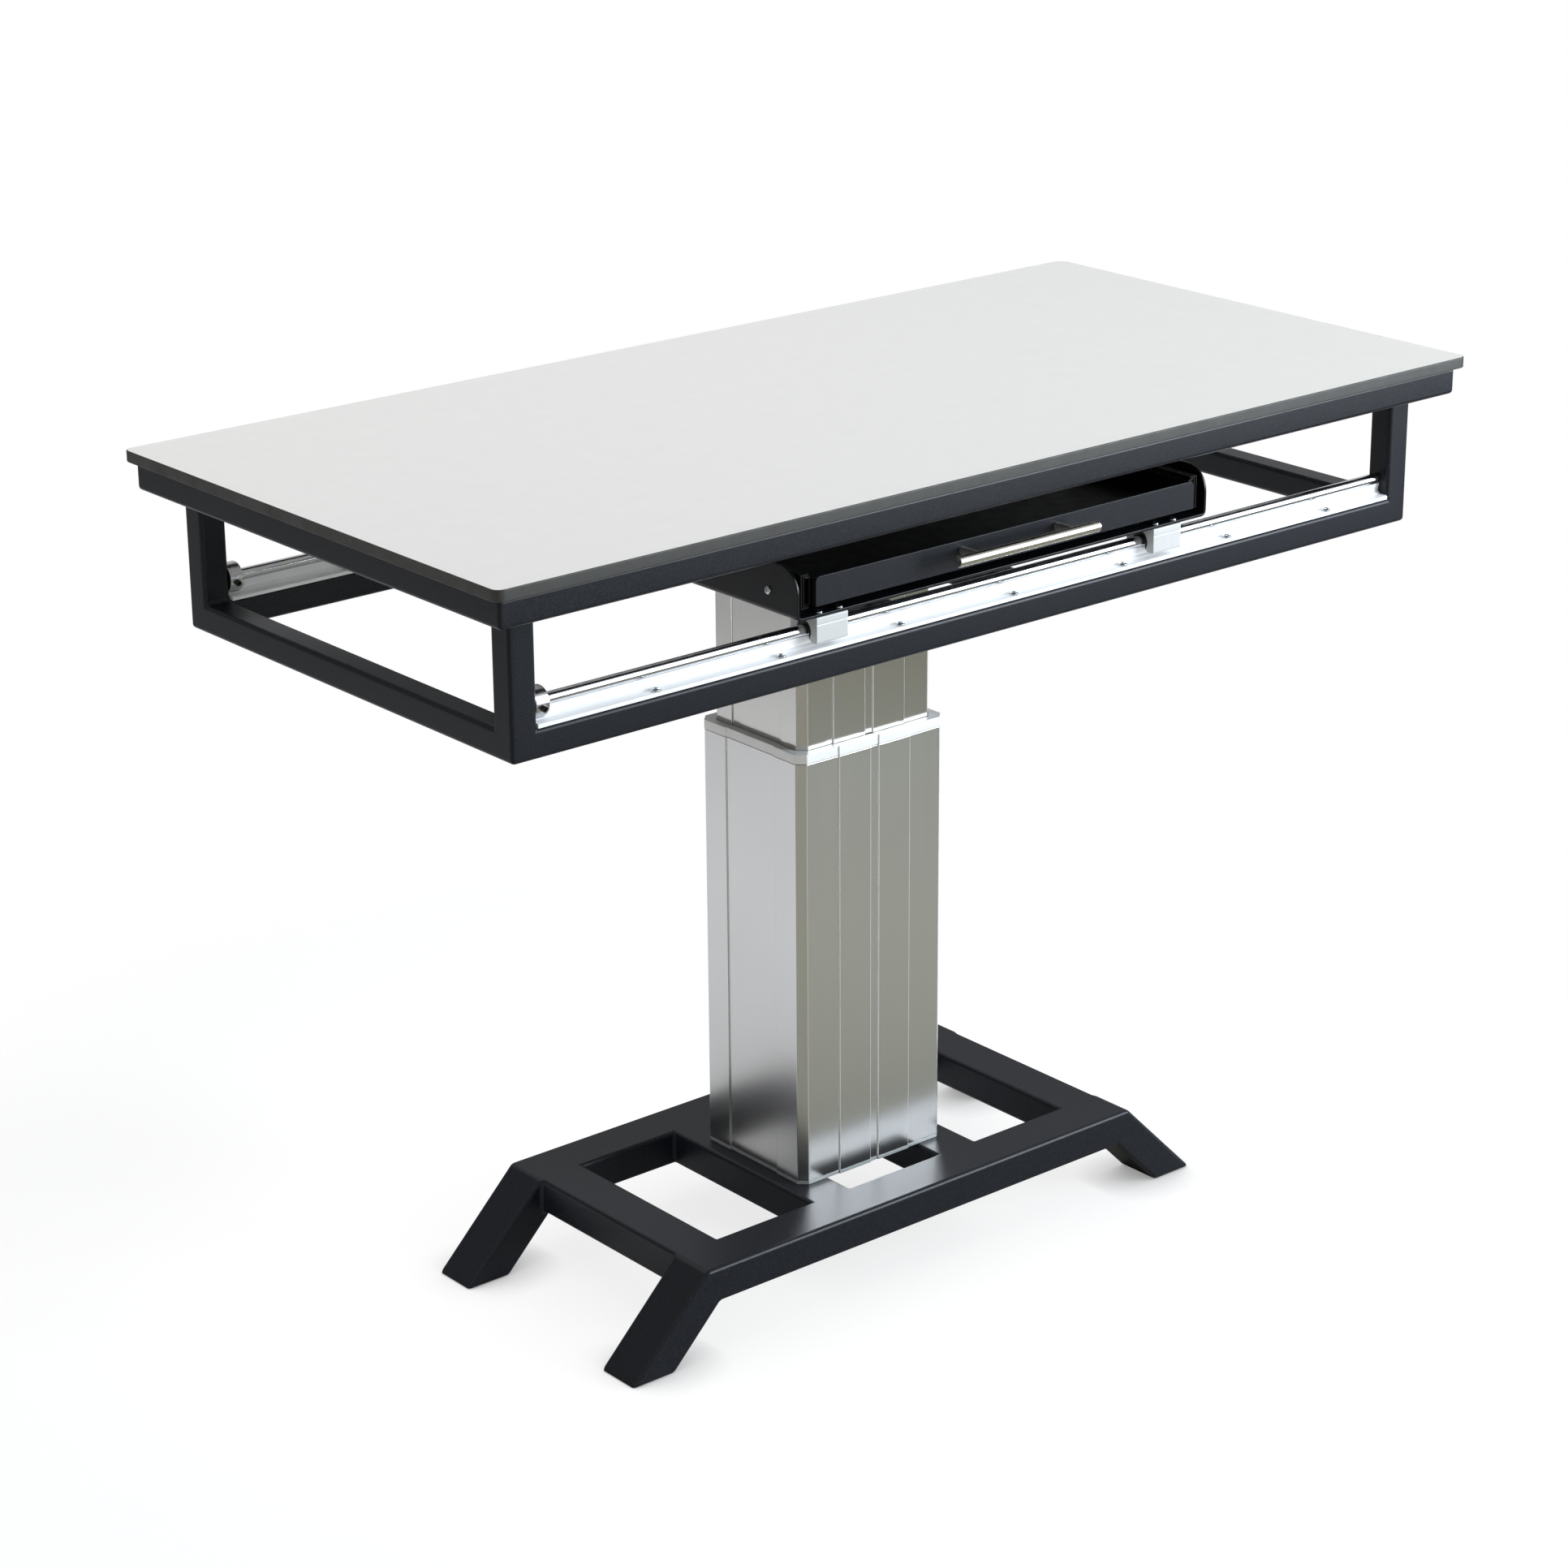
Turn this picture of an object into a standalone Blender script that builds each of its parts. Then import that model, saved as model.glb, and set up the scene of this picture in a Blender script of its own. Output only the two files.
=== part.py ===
"""X-ray table on a telescopic lifting column, with a sliding cassette carriage.

The welded base and the outer column profile stand on the floor. The lift
body is the inner profile with the double frame and the table top. A carriage
rolls along two supported shafts under the top and holds a cassette drawer on
three-part slides. X runs along the table, Y from front to back and Z up, with
the origin on the floor below the middle of the top. All lengths are metres.
"""
import math

import bmesh
import bpy
from mathutils import Matrix

# Clearances between pieces
SEAT_GAP = 0.0003
SLIDE_GAP = 0.0003
RUNNING_GAP = 0.0006
CUT_OVERRUN = 0.002

# Table top
TOP_LENGTH = 1.304
TOP_WIDTH = 0.638
TOP_THICKNESS = 0.012
TOP_CORNER_RADIUS = 0.010
TOP_EDGE_EASE = 0.001
TABLE_HEIGHT = 0.950

# Welded double frame under the top
FRAME_TUBE = 0.030
FRAME_WALL = 0.002
FRAME_CORNER_RADIUS = 0.003
TOP_FRAME_INSET = 0.009
LOWER_FRAME_INSET = 0.042
POST_LENGTH = 0.115
CROSS_MEMBER_SPACING = 0.170

# Welded base
BASE_TOP = 0.103
BASE_LENGTH = 0.614
BASE_DEPTH = 0.349
BASE_TUBE_WIDTH = 0.057
BASE_TUBE_HEIGHT = 0.040
BASE_WALL = 0.003
BASE_CORNER_RADIUS = 0.004
BASE_CROSS_MARGIN = 0.018
LEG_SLOPE = math.radians(45)
FOOT_THICKNESS = 0.003

# Telescopic column
COLUMN_WIDTH = 0.205
COLUMN_DEPTH = 0.169
COLUMN_CHAMFER = 0.009
COLUMN_STEP = 0.0095
COLUMN_WALL = 0.003
FRONT_PANEL_HALF = 0.050
SIDE_PANEL_HALF = 0.0405
PANEL_STEP = 0.0015
GROOVE_HALF = 0.0055
LIFT_DOWN = 0.145
CLOSED_GAP = 0.009
FOOT_PLATE_THICKNESS = 0.004
CAP_RING_HEIGHT = 0.011
CAP_RING_PROUD = 0.0004
TOP_PLATE_MARGIN = 0.017
TOP_PLATE_THICKNESS = 0.008
GLIDE_HEIGHT = 0.040

# Drive inside the column
SPINDLE_RADIUS = 0.009
LIFT_UP = 0.200
NUT_LENGTH = 0.033
NUT_OVERLAP = 0.008
NUT_FLANGE = 0.007
NUT_TUBE_RADIUS = 0.020
NUT_TUBE_WALL = 0.004
GEARBOX_SIDE_ROOM = 0.010
GEARBOX_DEPTH = 0.086
GEARBOX_HEIGHT = 0.055
GEARBOX_RADIUS = 0.008
MOTOR_LENGTH = 0.120
MOTOR_SIDE_GAP = 0.004

# Supported shafts and their collars
SUPPORT_WIDTH = 0.034
SUPPORT_FLANGE = 0.0045
SUPPORT_NECK = 0.0064
SHAFT_RISE = 0.0205
SHAFT_RADIUS = 0.006
COLLAR_RADIUS = 0.0152
COLLAR_WIDTH = 0.0155

# Open bearing blocks
BLOCK_LENGTH = 0.040
BLOCK_WIDTH = 0.040
BLOCK_RISE = 0.017
BLOCK_DROP = 0.010
BLOCK_INSET = 0.0507
BLOCK_SHIFT = -0.0063
BLOCK_CHAMFER = 0.001
BLOCK_LINE_DROP = 0.008
BLOCK_LINE_DEPTH = 0.0006
BUSHING_RADIUS = 0.0105
BUSHING_INSET = 0.002
BUSHING_SLOT_INSET = 0.0006

# Carriage tray
CARRIAGE_OFFSET = 0.011
CARRIAGE_WIDTH = 0.5612
CARRIAGE_SHEET = 0.003
CARRIAGE_SIDE = 0.0525
CARRIAGE_BEND = 0.006
CARRIAGE_CORNER = 0.026

# Cassette drawer
DRAWER_CLEARANCE = 0.009
DRAWER_HEIGHT = 0.030
DRAWER_SHEET = 0.002
DRAWER_RIM_DROP = 0.002
DRAWER_BACK_GAP = 0.060
DRAWER_CORNER = 0.004
FRONT_CORNER = 0.005
SLIDE_SPACE = 0.0186
SLIDE_HEIGHT = 0.0352
SLIDE_SHEET = 0.0015
SLIDE_SETBACK = 0.006
SLIDE_STANDOFF = 0.0059
STANDOFF_RADIUS = 0.006
STANDOFF_INSET = 0.040

# Drawer handle
HANDLE_LENGTH = 0.192
HANDLE_BAR_RADIUS = 0.0057
HANDLE_POST_RADIUS = 0.004
HANDLE_POST_SPACING = 0.130
HANDLE_REACH = 0.0285
HANDLE_RISE = 0.005
HANDLE_SHIFT = -0.004
HANDLE_EASE = 0.0006

# Numbers of facets on round forms
TUBE_CORNER_STEPS = 2
TOP_CORNER_STEPS = 6
BEND_STEPS = 3
ROUND_STEPS = 24
SHAFT_STEPS = 28
CRADLE_STEPS = 6
BORE_STEPS = 14
CORNER_CUT_STEPS = 8

# Shares that set the outlines of the shaft support and the block
NECK_FOOT_SHARE = 0.22
NECK_RISE_SHARE = 0.30
CRADLE_NECK_SHARE = 0.62
CRADLE_HALF_SHARE = 0.72
SLOT_HALF_SHARE = 0.86
SLOT_FLARE_SHARE = 0.30

# Shares of the room beside them that the slide channels fill
OUTER_CHANNEL_SHARE = 0.83
MIDDLE_CHANNEL_SHARE = 0.71

# Levels above the floor
TOP_UNDERSIDE = TABLE_HEIGHT - TOP_THICKNESS
TOP_FRAME_BOTTOM = TOP_UNDERSIDE - FRAME_TUBE
LOWER_FRAME_TOP = TOP_FRAME_BOTTOM - POST_LENGTH
LOWER_FRAME_BOTTOM = LOWER_FRAME_TOP - FRAME_TUBE
TOP_PLATE_BOTTOM = LOWER_FRAME_BOTTOM - TOP_PLATE_THICKNESS
COLUMN_FOOT = BASE_TOP + FOOT_PLATE_THICKNESS
CAP_RING_TOP = TOP_PLATE_BOTTOM - LIFT_DOWN - CLOSED_GAP
CAP_RING_BOTTOM = CAP_RING_TOP - CAP_RING_HEIGHT
INNER_COLUMN_BOTTOM = COLUMN_FOOT + LIFT_DOWN + CLOSED_GAP
GEARBOX_BOTTOM = TOP_PLATE_BOTTOM - GEARBOX_HEIGHT
SPINDLE_BOTTOM = COLUMN_FOOT + LIFT_DOWN + CLOSED_GAP
NUT_BOTTOM = SPINDLE_BOTTOM + LIFT_UP - NUT_OVERLAP
NUT_TUBE_TOP = NUT_BOTTOM + NUT_LENGTH - NUT_FLANGE
SHAFT_LEVEL = LOWER_FRAME_TOP + SHAFT_RISE
CARRIAGE_BOTTOM = SHAFT_LEVEL + BLOCK_RISE
CARRIAGE_FLOOR = CARRIAGE_BOTTOM + CARRIAGE_SHEET
DRAWER_BOTTOM = CARRIAGE_FLOOR + DRAWER_CLEARANCE
DRAWER_MIDDLE = DRAWER_BOTTOM + DRAWER_HEIGHT / 2

# Half sizes in plan
TOP_FRAME_HALF_X = TOP_LENGTH / 2 - TOP_FRAME_INSET
TOP_FRAME_HALF_Y = TOP_WIDTH / 2 - TOP_FRAME_INSET
TOP_RAIL_WIDTH = LOWER_FRAME_INSET - TOP_FRAME_INSET + FRAME_TUBE
LOWER_HALF_X = TOP_LENGTH / 2 - LOWER_FRAME_INSET
LOWER_HALF_Y = TOP_WIDTH / 2 - LOWER_FRAME_INSET
POST_X = LOWER_HALF_X - FRAME_TUBE / 2
POST_Y = LOWER_HALF_Y - FRAME_TUBE / 2
SHAFT_Y = LOWER_HALF_Y - SUPPORT_WIDTH / 2
SHAFT_HALF_LENGTH = LOWER_HALF_X - FRAME_TUBE - SEAT_GAP
BASE_CROSS_X = COLUMN_WIDTH / 2 + BASE_CROSS_MARGIN - BASE_TUBE_WIDTH / 2
INNER_WIDTH = COLUMN_WIDTH - 2 * COLUMN_STEP
INNER_DEPTH = COLUMN_DEPTH - 2 * COLUMN_STEP
GEARBOX_HALF_WIDTH = INNER_WIDTH / 2 - PANEL_STEP - COLUMN_WALL - GEARBOX_SIDE_ROOM
MOTOR_RADIUS = (GEARBOX_HALF_WIDTH - NUT_TUBE_RADIUS - MOTOR_SIDE_GAP) / 2
CARRIAGE_HALF_DEPTH = SHAFT_Y + BLOCK_WIDTH / 2
DRAWER_HALF_WIDTH = CARRIAGE_WIDTH / 2 - CARRIAGE_SHEET - SLIDE_SPACE
DRAWER_DEPTH = 2 * CARRIAGE_HALF_DEPTH - DRAWER_BACK_GAP

# Directions of an extrusion
ALONG_X = Matrix.Rotation(math.pi / 2, 3, "Z") @ Matrix.Rotation(math.pi / 2, 3, "X")
ALONG_Y = Matrix.Rotation(math.pi / 2, 3, "X")
ALONG_Z = Matrix.Identity(3)
HALF_TURN = Matrix.Rotation(math.pi, 3, "Z")

SIDES = (("left", -1), ("right", 1))
ENDS = (("front", -1), ("rear", 1))
MERGE_DISTANCE = 0.00001
SMOOTH_ANGLE = math.radians(35)
CREASE_ANGLE = math.radians(60)


def clear_scene():
    """Remove the objects that a new file starts with."""
    for item in list(bpy.data.objects):
        bpy.data.objects.remove(item, do_unlink=True)


def make_collection(name):
    """Add a collection below the scene's own."""
    collection = bpy.data.collections.new(name)
    bpy.context.scene.collection.children.link(collection)
    return collection


def make_material(name, colour, roughness, metallic):
    """Add a finish with its colour, roughness and metallic value."""
    material = bpy.data.materials.new(name)
    material.use_nodes = True
    shader = material.node_tree.nodes["Principled BSDF"]
    shader.inputs["Base Color"].default_value = (*colour, 1)
    shader.inputs["Roughness"].default_value = roughness
    shader.inputs["Metallic"].default_value = metallic
    material.diffuse_color = (*colour, 1)
    return material


clear_scene()
PARTS = make_collection("x_ray_table")
CUTTERS = make_collection("cutters")
FINISH = {
    "black_coat": make_material("black_coat", (0.022, 0.023, 0.026), 0.48, 0.0),
    "laminate": make_material("laminate", (0.76, 0.76, 0.76), 0.45, 0.0),
    "anodised": make_material("anodised", (0.55, 0.55, 0.54), 0.34, 1.0),
    "bright_aluminium": make_material("bright_aluminium", (0.80, 0.80, 0.81), 0.25, 1.0),
    "ground_steel": make_material("ground_steel", (0.72, 0.72, 0.74), 0.12, 1.0),
    "brushed_steel": make_material("brushed_steel", (0.58, 0.57, 0.55), 0.30, 1.0),
    "black_steel": make_material("black_steel", (0.030, 0.030, 0.033), 0.35, 0.3),
    "drive_grey": make_material("drive_grey", (0.20, 0.21, 0.22), 0.50, 0.0),
    "bushing_black": make_material("bushing_black", (0.020, 0.020, 0.021), 0.55, 0.0),
    "nut_bronze": make_material("nut_bronze", (0.50, 0.32, 0.13), 0.40, 1.0),
    "glide_plastic": make_material("glide_plastic", (0.80, 0.79, 0.74), 0.55, 0.0),
}


def make_axis(name, location, parent=None):
    """Add an empty on a joint's axis, for the pieces that move on it."""
    axis = bpy.data.objects.new(name, None)
    axis.location = location
    PARTS.objects.link(axis)
    bpy.context.view_layer.update()
    if parent is not None:
        attach(axis, parent)
    return axis


def attach(item, parent):
    """Parent an object and leave it where it is."""
    item.parent = parent
    item.matrix_parent_inverse = parent.matrix_world.inverted()


def place(item, location, turn=ALONG_Z, parent=None):
    """Move and turn an object, and hang it on its body."""
    item.location = location
    item.rotation_euler = turn.to_euler()
    if parent is not None:
        attach(item, parent)
    return item


def arc(centre_x, centre_y, radius, start, end, steps):
    """Points along a round stretch of an outline, ends included."""
    angles = [start + (end - start) * step / steps for step in range(steps + 1)]
    return [(centre_x + radius * math.cos(angle), centre_y + radius * math.sin(angle)) for angle in angles]


def circle(radius, steps=ROUND_STEPS):
    """A closed round outline."""
    return arc(0, 0, radius, 0, 2 * math.pi, steps)[:-1]


def rounded_rectangle(width, height, radius, steps):
    """A rectangle about the origin with four round corners."""
    quarter = math.pi / 2
    corners = ((1, 1), (-1, 1), (-1, -1), (1, -1))
    outline = []
    for index, (right, up) in enumerate(corners):
        centre_x = right * (width / 2 - radius)
        centre_y = up * (height / 2 - radius)
        outline += arc(centre_x, centre_y, radius, index * quarter, (index + 1) * quarter, steps)
    return outline


def mesh_object(name, mesh, finish):
    """Wrap a mesh in an object of the parts' collection."""
    item = bpy.data.objects.new(name, mesh)
    PARTS.objects.link(item)
    mesh.materials.clear()
    mesh.materials.append(FINISH[finish])
    return item


def extrude(name, outlines, length, finish, smooth=False):
    """Extrude a filled outline, and the holes after it, about its middle."""
    curve = bpy.data.curves.new(name, "CURVE")
    curve.dimensions = "2D"
    curve.fill_mode = "BOTH"
    curve.extrude = length / 2
    for outline in outlines:
        spline = curve.splines.new("POLY")
        spline.points.add(len(outline) - 1)
        for point, (x, y) in zip(spline.points, outline):
            point.co = (x, y, 0, 1)
        spline.use_cyclic_u = True
    source = bpy.data.objects.new(name, curve)
    PARTS.objects.link(source)
    graph = bpy.context.evaluated_depsgraph_get()
    mesh = bpy.data.meshes.new_from_object(source.evaluated_get(graph))
    bpy.data.objects.remove(source, do_unlink=True)
    weld(mesh)
    if smooth:
        mesh.shade_smooth()
        mesh.set_sharp_from_angle(angle=SMOOTH_ANGLE)
    return mesh_object(name, mesh, finish)


def weld(mesh):
    """Join the caps of an extrusion to its walls."""
    shape = bmesh.new()
    shape.from_mesh(mesh)
    bmesh.ops.remove_doubles(shape, verts=shape.verts, dist=MERGE_DISTANCE)
    bmesh.ops.recalc_face_normals(shape, faces=shape.faces)
    shape.to_mesh(mesh)
    shape.free()


def tube(name, width, height, length, wall, radius, finish="black_coat"):
    """A hollow rectangular section, open at both ends."""
    outer = rounded_rectangle(width, height, radius, TUBE_CORNER_STEPS)
    inner_radius = max(radius - wall, radius / 3)
    inner = rounded_rectangle(width - 2 * wall, height - 2 * wall, inner_radius, 1)
    return extrude(name, [outer, inner], length, finish)


def mitre(item, start_slope, end_slope, across=1):
    """Lean the cut ends of an extrusion by slopes over its width or height."""
    for vertex in item.data.vertices:
        slope = end_slope if vertex.co.z > 0 else start_slope
        vertex.co.z += slope * vertex.co[across]


def shape_with(item, tool, operation="DIFFERENCE"):
    """Cut, join or limit a piece by a tool, which stays as a guide."""
    PARTS.objects.unlink(tool)
    CUTTERS.objects.link(tool)
    tool.hide_render = True
    tool.display_type = "WIRE"
    modifier = item.modifiers.new(tool.name, "BOOLEAN")
    modifier.operation = operation
    modifier.solver = "EXACT"
    modifier.object = tool


def ease_edges(item, width):
    """Break the sharp edges of a piece by a small chamfer."""
    modifier = item.modifiers.new("eased_edges", "BEVEL")
    modifier.width = width
    modifier.segments = 1
    modifier.limit_method = "ANGLE"
    modifier.angle_limit = CREASE_ANGLE


def build_tabletop(lift):
    """The laminate panel with its round corners."""
    outline = rounded_rectangle(TOP_LENGTH, TOP_WIDTH, TOP_CORNER_RADIUS, TOP_CORNER_STEPS)
    panel = extrude("tabletop_panel", [outline], TOP_THICKNESS, "laminate")
    ease_edges(panel, TOP_EDGE_EASE)
    place(panel, (0, 0, TOP_UNDERSIDE + TOP_THICKNESS / 2), ALONG_Z, lift)


def build_frame(label, half_x, half_y, rail_width, bottom, lift):
    """Four rails of one level of the double frame, mitred at the corners."""
    height = FRAME_TUBE - SEAT_GAP
    middle = bottom + height / 2
    line_x = half_x - rail_width / 2
    line_y = half_y - rail_width / 2
    joint = SEAT_GAP / math.sqrt(2)
    for end, back in ENDS:
        length = 2 * (line_x - joint)
        rail = tube(f"{label}_rail_{end}", rail_width, height, length, FRAME_WALL, FRAME_CORNER_RADIUS)
        mitre(rail, -back, back, across=0)
        place(rail, (0, back * line_y, middle), ALONG_X, lift)
    for side, right in SIDES:
        length = 2 * (line_y - joint)
        rail = tube(f"{label}_rail_{side}", rail_width, height, length, FRAME_WALL, FRAME_CORNER_RADIUS)
        mitre(rail, -right, right, across=0)
        place(rail, (right * line_x, 0, middle), ALONG_Y, lift)


def build_posts(lift):
    """Upright tubes at the corners, between the two levels of the frame."""
    length = POST_LENGTH - SEAT_GAP
    for end, back in ENDS:
        for side, right in SIDES:
            name = f"frame_post_{end}_{side}"
            post = tube(name, FRAME_TUBE, FRAME_TUBE, length, FRAME_WALL, FRAME_CORNER_RADIUS)
            place(post, (right * POST_X, back * POST_Y, LOWER_FRAME_TOP + length / 2), ALONG_Z, lift)


def build_cross_members(lift):
    """Two tubes between the lower rails, and the plate that takes the column."""
    height = FRAME_TUBE - SEAT_GAP
    length = 2 * (LOWER_HALF_Y - FRAME_TUBE - SEAT_GAP)
    for side, right in SIDES:
        name = f"cross_member_{side}"
        member = tube(name, FRAME_TUBE, height, length, FRAME_WALL, FRAME_CORNER_RADIUS)
        middle = LOWER_FRAME_BOTTOM + height / 2
        place(member, (right * CROSS_MEMBER_SPACING / 2, 0, middle), ALONG_Y, lift)
    thickness = TOP_PLATE_THICKNESS - SEAT_GAP
    width = INNER_WIDTH + 2 * TOP_PLATE_MARGIN
    depth = INNER_DEPTH + 2 * TOP_PLATE_MARGIN
    outline = rounded_rectangle(width, depth, COLUMN_CHAMFER, BEND_STEPS)
    plate = extrude("column_top_plate", [outline], thickness, "black_coat")
    place(plate, (0, 0, TOP_PLATE_BOTTOM + thickness / 2), ALONG_Z, lift)


def column_outline(width, depth, grow=0, groove=True):
    """The grooved outline of a column profile, grown or shrunk all round.

    The front and back carry a raised panel with a groove down its middle, and
    the sides a sunk panel. The corners are chamfered.
    """
    half_x = width / 2 + grow
    half_y = depth / 2 + grow
    chamfer = COLUMN_CHAMFER + grow * (2 - math.sqrt(2))
    panel_x = FRONT_PANEL_HALF + grow
    panel_y = SIDE_PANEL_HALF - grow
    front = half_y + PANEL_STEP
    side = half_x - PANEL_STEP
    quarter = [(half_x, half_y - chamfer), (half_x - chamfer, half_y), (panel_x, half_y), (panel_x, front)]
    if groove:
        quarter += [(GROOVE_HALF, front), (GROOVE_HALF, half_y)]
    quarter = [(side, panel_y), (half_x, panel_y)] + quarter
    outline = list(quarter)
    outline += [(-x, y) for x, y in reversed(quarter)]
    outline += [(-x, -y) for x, y in quarter]
    outline += [(x, -y) for x, y in reversed(quarter)]
    return outline


def column_cavity(width, depth, shrink=0):
    """The plain chamfered outline inside a column profile."""
    half_x = width / 2 - PANEL_STEP - COLUMN_WALL - shrink
    half_y = depth / 2 - COLUMN_WALL - shrink
    quarter = [(half_x, half_y - COLUMN_CHAMFER), (half_x - COLUMN_CHAMFER, half_y)]
    outline = list(quarter)
    outline += [(-x, y) for x, y in reversed(quarter)]
    outline += [(-x, -y) for x, y in quarter]
    outline += [(x, -y) for x, y in reversed(quarter)]
    return outline


def stand(item, bottom, height, parent=None):
    """Stand an upright extrusion on a level, at the column's axis."""
    return place(item, (0, 0, bottom + height / 2), ALONG_Z, parent)


def build_column(base, lift):
    """Foot plate, outer and inner profiles, cap ring and glide collar."""
    height = FOOT_PLATE_THICKNESS - SEAT_GAP
    outlines = [column_outline(COLUMN_WIDTH, COLUMN_DEPTH)]
    stand(extrude("column_foot_plate", outlines, height, "anodised"), BASE_TOP, height, base)

    height = CAP_RING_BOTTOM - COLUMN_FOOT - SEAT_GAP
    outlines = [column_outline(COLUMN_WIDTH, COLUMN_DEPTH), column_cavity(COLUMN_WIDTH, COLUMN_DEPTH)]
    stand(extrude("column_outer_profile", outlines, height, "anodised"), COLUMN_FOOT, height, base)

    inner_opening = column_outline(INNER_WIDTH, INNER_DEPTH, RUNNING_GAP, groove=False)
    outlines = [column_outline(COLUMN_WIDTH, COLUMN_DEPTH, CAP_RING_PROUD), inner_opening]
    ring = extrude("column_cap_ring", outlines, CAP_RING_HEIGHT, "bright_aluminium")
    stand(ring, CAP_RING_BOTTOM, CAP_RING_HEIGHT, base)

    height = TOP_PLATE_BOTTOM - INNER_COLUMN_BOTTOM - SEAT_GAP
    outlines = [column_outline(INNER_WIDTH, INNER_DEPTH), column_cavity(INNER_WIDTH, INNER_DEPTH)]
    inner = extrude("column_inner_profile", outlines, height, "anodised")
    stand(inner, INNER_COLUMN_BOTTOM, height, lift)

    around = column_outline(INNER_WIDTH, INNER_DEPTH, SEAT_GAP, groove=False)
    outlines = [column_cavity(COLUMN_WIDTH, COLUMN_DEPTH, SLIDE_GAP), around]
    glide = extrude("column_glide_collar", outlines, GLIDE_HEIGHT, "glide_plastic")
    stand(glide, INNER_COLUMN_BOTTOM, GLIDE_HEIGHT, lift)


def build_drive(base, lift):
    """Geared motor and spindle of the lift, with the nut on its tube."""
    outline = rounded_rectangle(2 * GEARBOX_HALF_WIDTH, GEARBOX_DEPTH, GEARBOX_RADIUS, BEND_STEPS)
    height = GEARBOX_HEIGHT - SEAT_GAP
    gearbox = extrude("lift_gear_motor", [outline], height, "drive_grey", smooth=True)
    stand(gearbox, GEARBOX_BOTTOM, height, lift)
    motor_x = GEARBOX_HALF_WIDTH - MOTOR_RADIUS
    motor = extrude("motor_barrel", [circle(MOTOR_RADIUS)], MOTOR_LENGTH, "drive_grey", smooth=True)
    motor_middle = GEARBOX_BOTTOM + CUT_OVERRUN - MOTOR_LENGTH / 2
    place(motor, (motor_x, 0, motor_middle), ALONG_Z, lift)
    shape_with(gearbox, motor, "UNION")

    height = GEARBOX_BOTTOM - SPINDLE_BOTTOM - SEAT_GAP
    spindle = extrude("lift_spindle", [circle(SPINDLE_RADIUS)], height, "ground_steel", smooth=True)
    stand(spindle, SPINDLE_BOTTOM, height, lift)

    height = NUT_TUBE_TOP - COLUMN_FOOT - SEAT_GAP
    bore = NUT_TUBE_RADIUS - NUT_TUBE_WALL
    outlines = [circle(NUT_TUBE_RADIUS), circle(bore)]
    nut_tube = extrude("spindle_nut_tube", outlines, height, "brushed_steel", smooth=True)
    stand(nut_tube, COLUMN_FOOT, height, base)

    body_height = NUT_LENGTH - NUT_FLANGE
    outlines = [circle(bore - SEAT_GAP), circle(SPINDLE_RADIUS + RUNNING_GAP)]
    nut = extrude("spindle_nut", outlines, body_height + CUT_OVERRUN, "nut_bronze", smooth=True)
    stand(nut, NUT_BOTTOM, body_height + CUT_OVERRUN, base)
    outlines = [circle(NUT_TUBE_RADIUS), circle(SPINDLE_RADIUS + RUNNING_GAP)]
    flange = extrude("nut_flange", outlines, NUT_FLANGE, "nut_bronze", smooth=True)
    stand(flange, NUT_TUBE_TOP, NUT_FLANGE, base)
    shape_with(nut, flange, "UNION")


def build_base(base):
    """Long rails, end rails and cross rails of the welded base."""
    height = BASE_TUBE_HEIGHT - SEAT_GAP
    middle = BASE_TOP - SEAT_GAP - height / 2
    section = (BASE_TUBE_WIDTH, height)
    shape = (BASE_WALL, BASE_CORNER_RADIUS)
    lean = math.tan(LEG_SLOPE / 2)
    rail_y = BASE_DEPTH / 2 - BASE_TUBE_WIDTH / 2
    rail_length = BASE_LENGTH - BASE_TUBE_HEIGHT * lean - SEAT_GAP
    for end, back in ENDS:
        rail = tube(f"base_rail_{end}", *section, rail_length, *shape)
        mitre(rail, -lean, lean)
        place(rail, (0, back * rail_y, middle), ALONG_X, base)
    inner_length = BASE_DEPTH - 2 * BASE_TUBE_WIDTH - 2 * SEAT_GAP
    places = (("base_end_rail", BASE_LENGTH / 2 - BASE_TUBE_WIDTH / 2), ("base_cross_rail", BASE_CROSS_X))
    for label, distance in places:
        for side, right in SIDES:
            rail = tube(f"{label}_{side}", *section, inner_length, *shape)
            place(rail, (right * distance, 0, middle), ALONG_Y, base)


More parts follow.
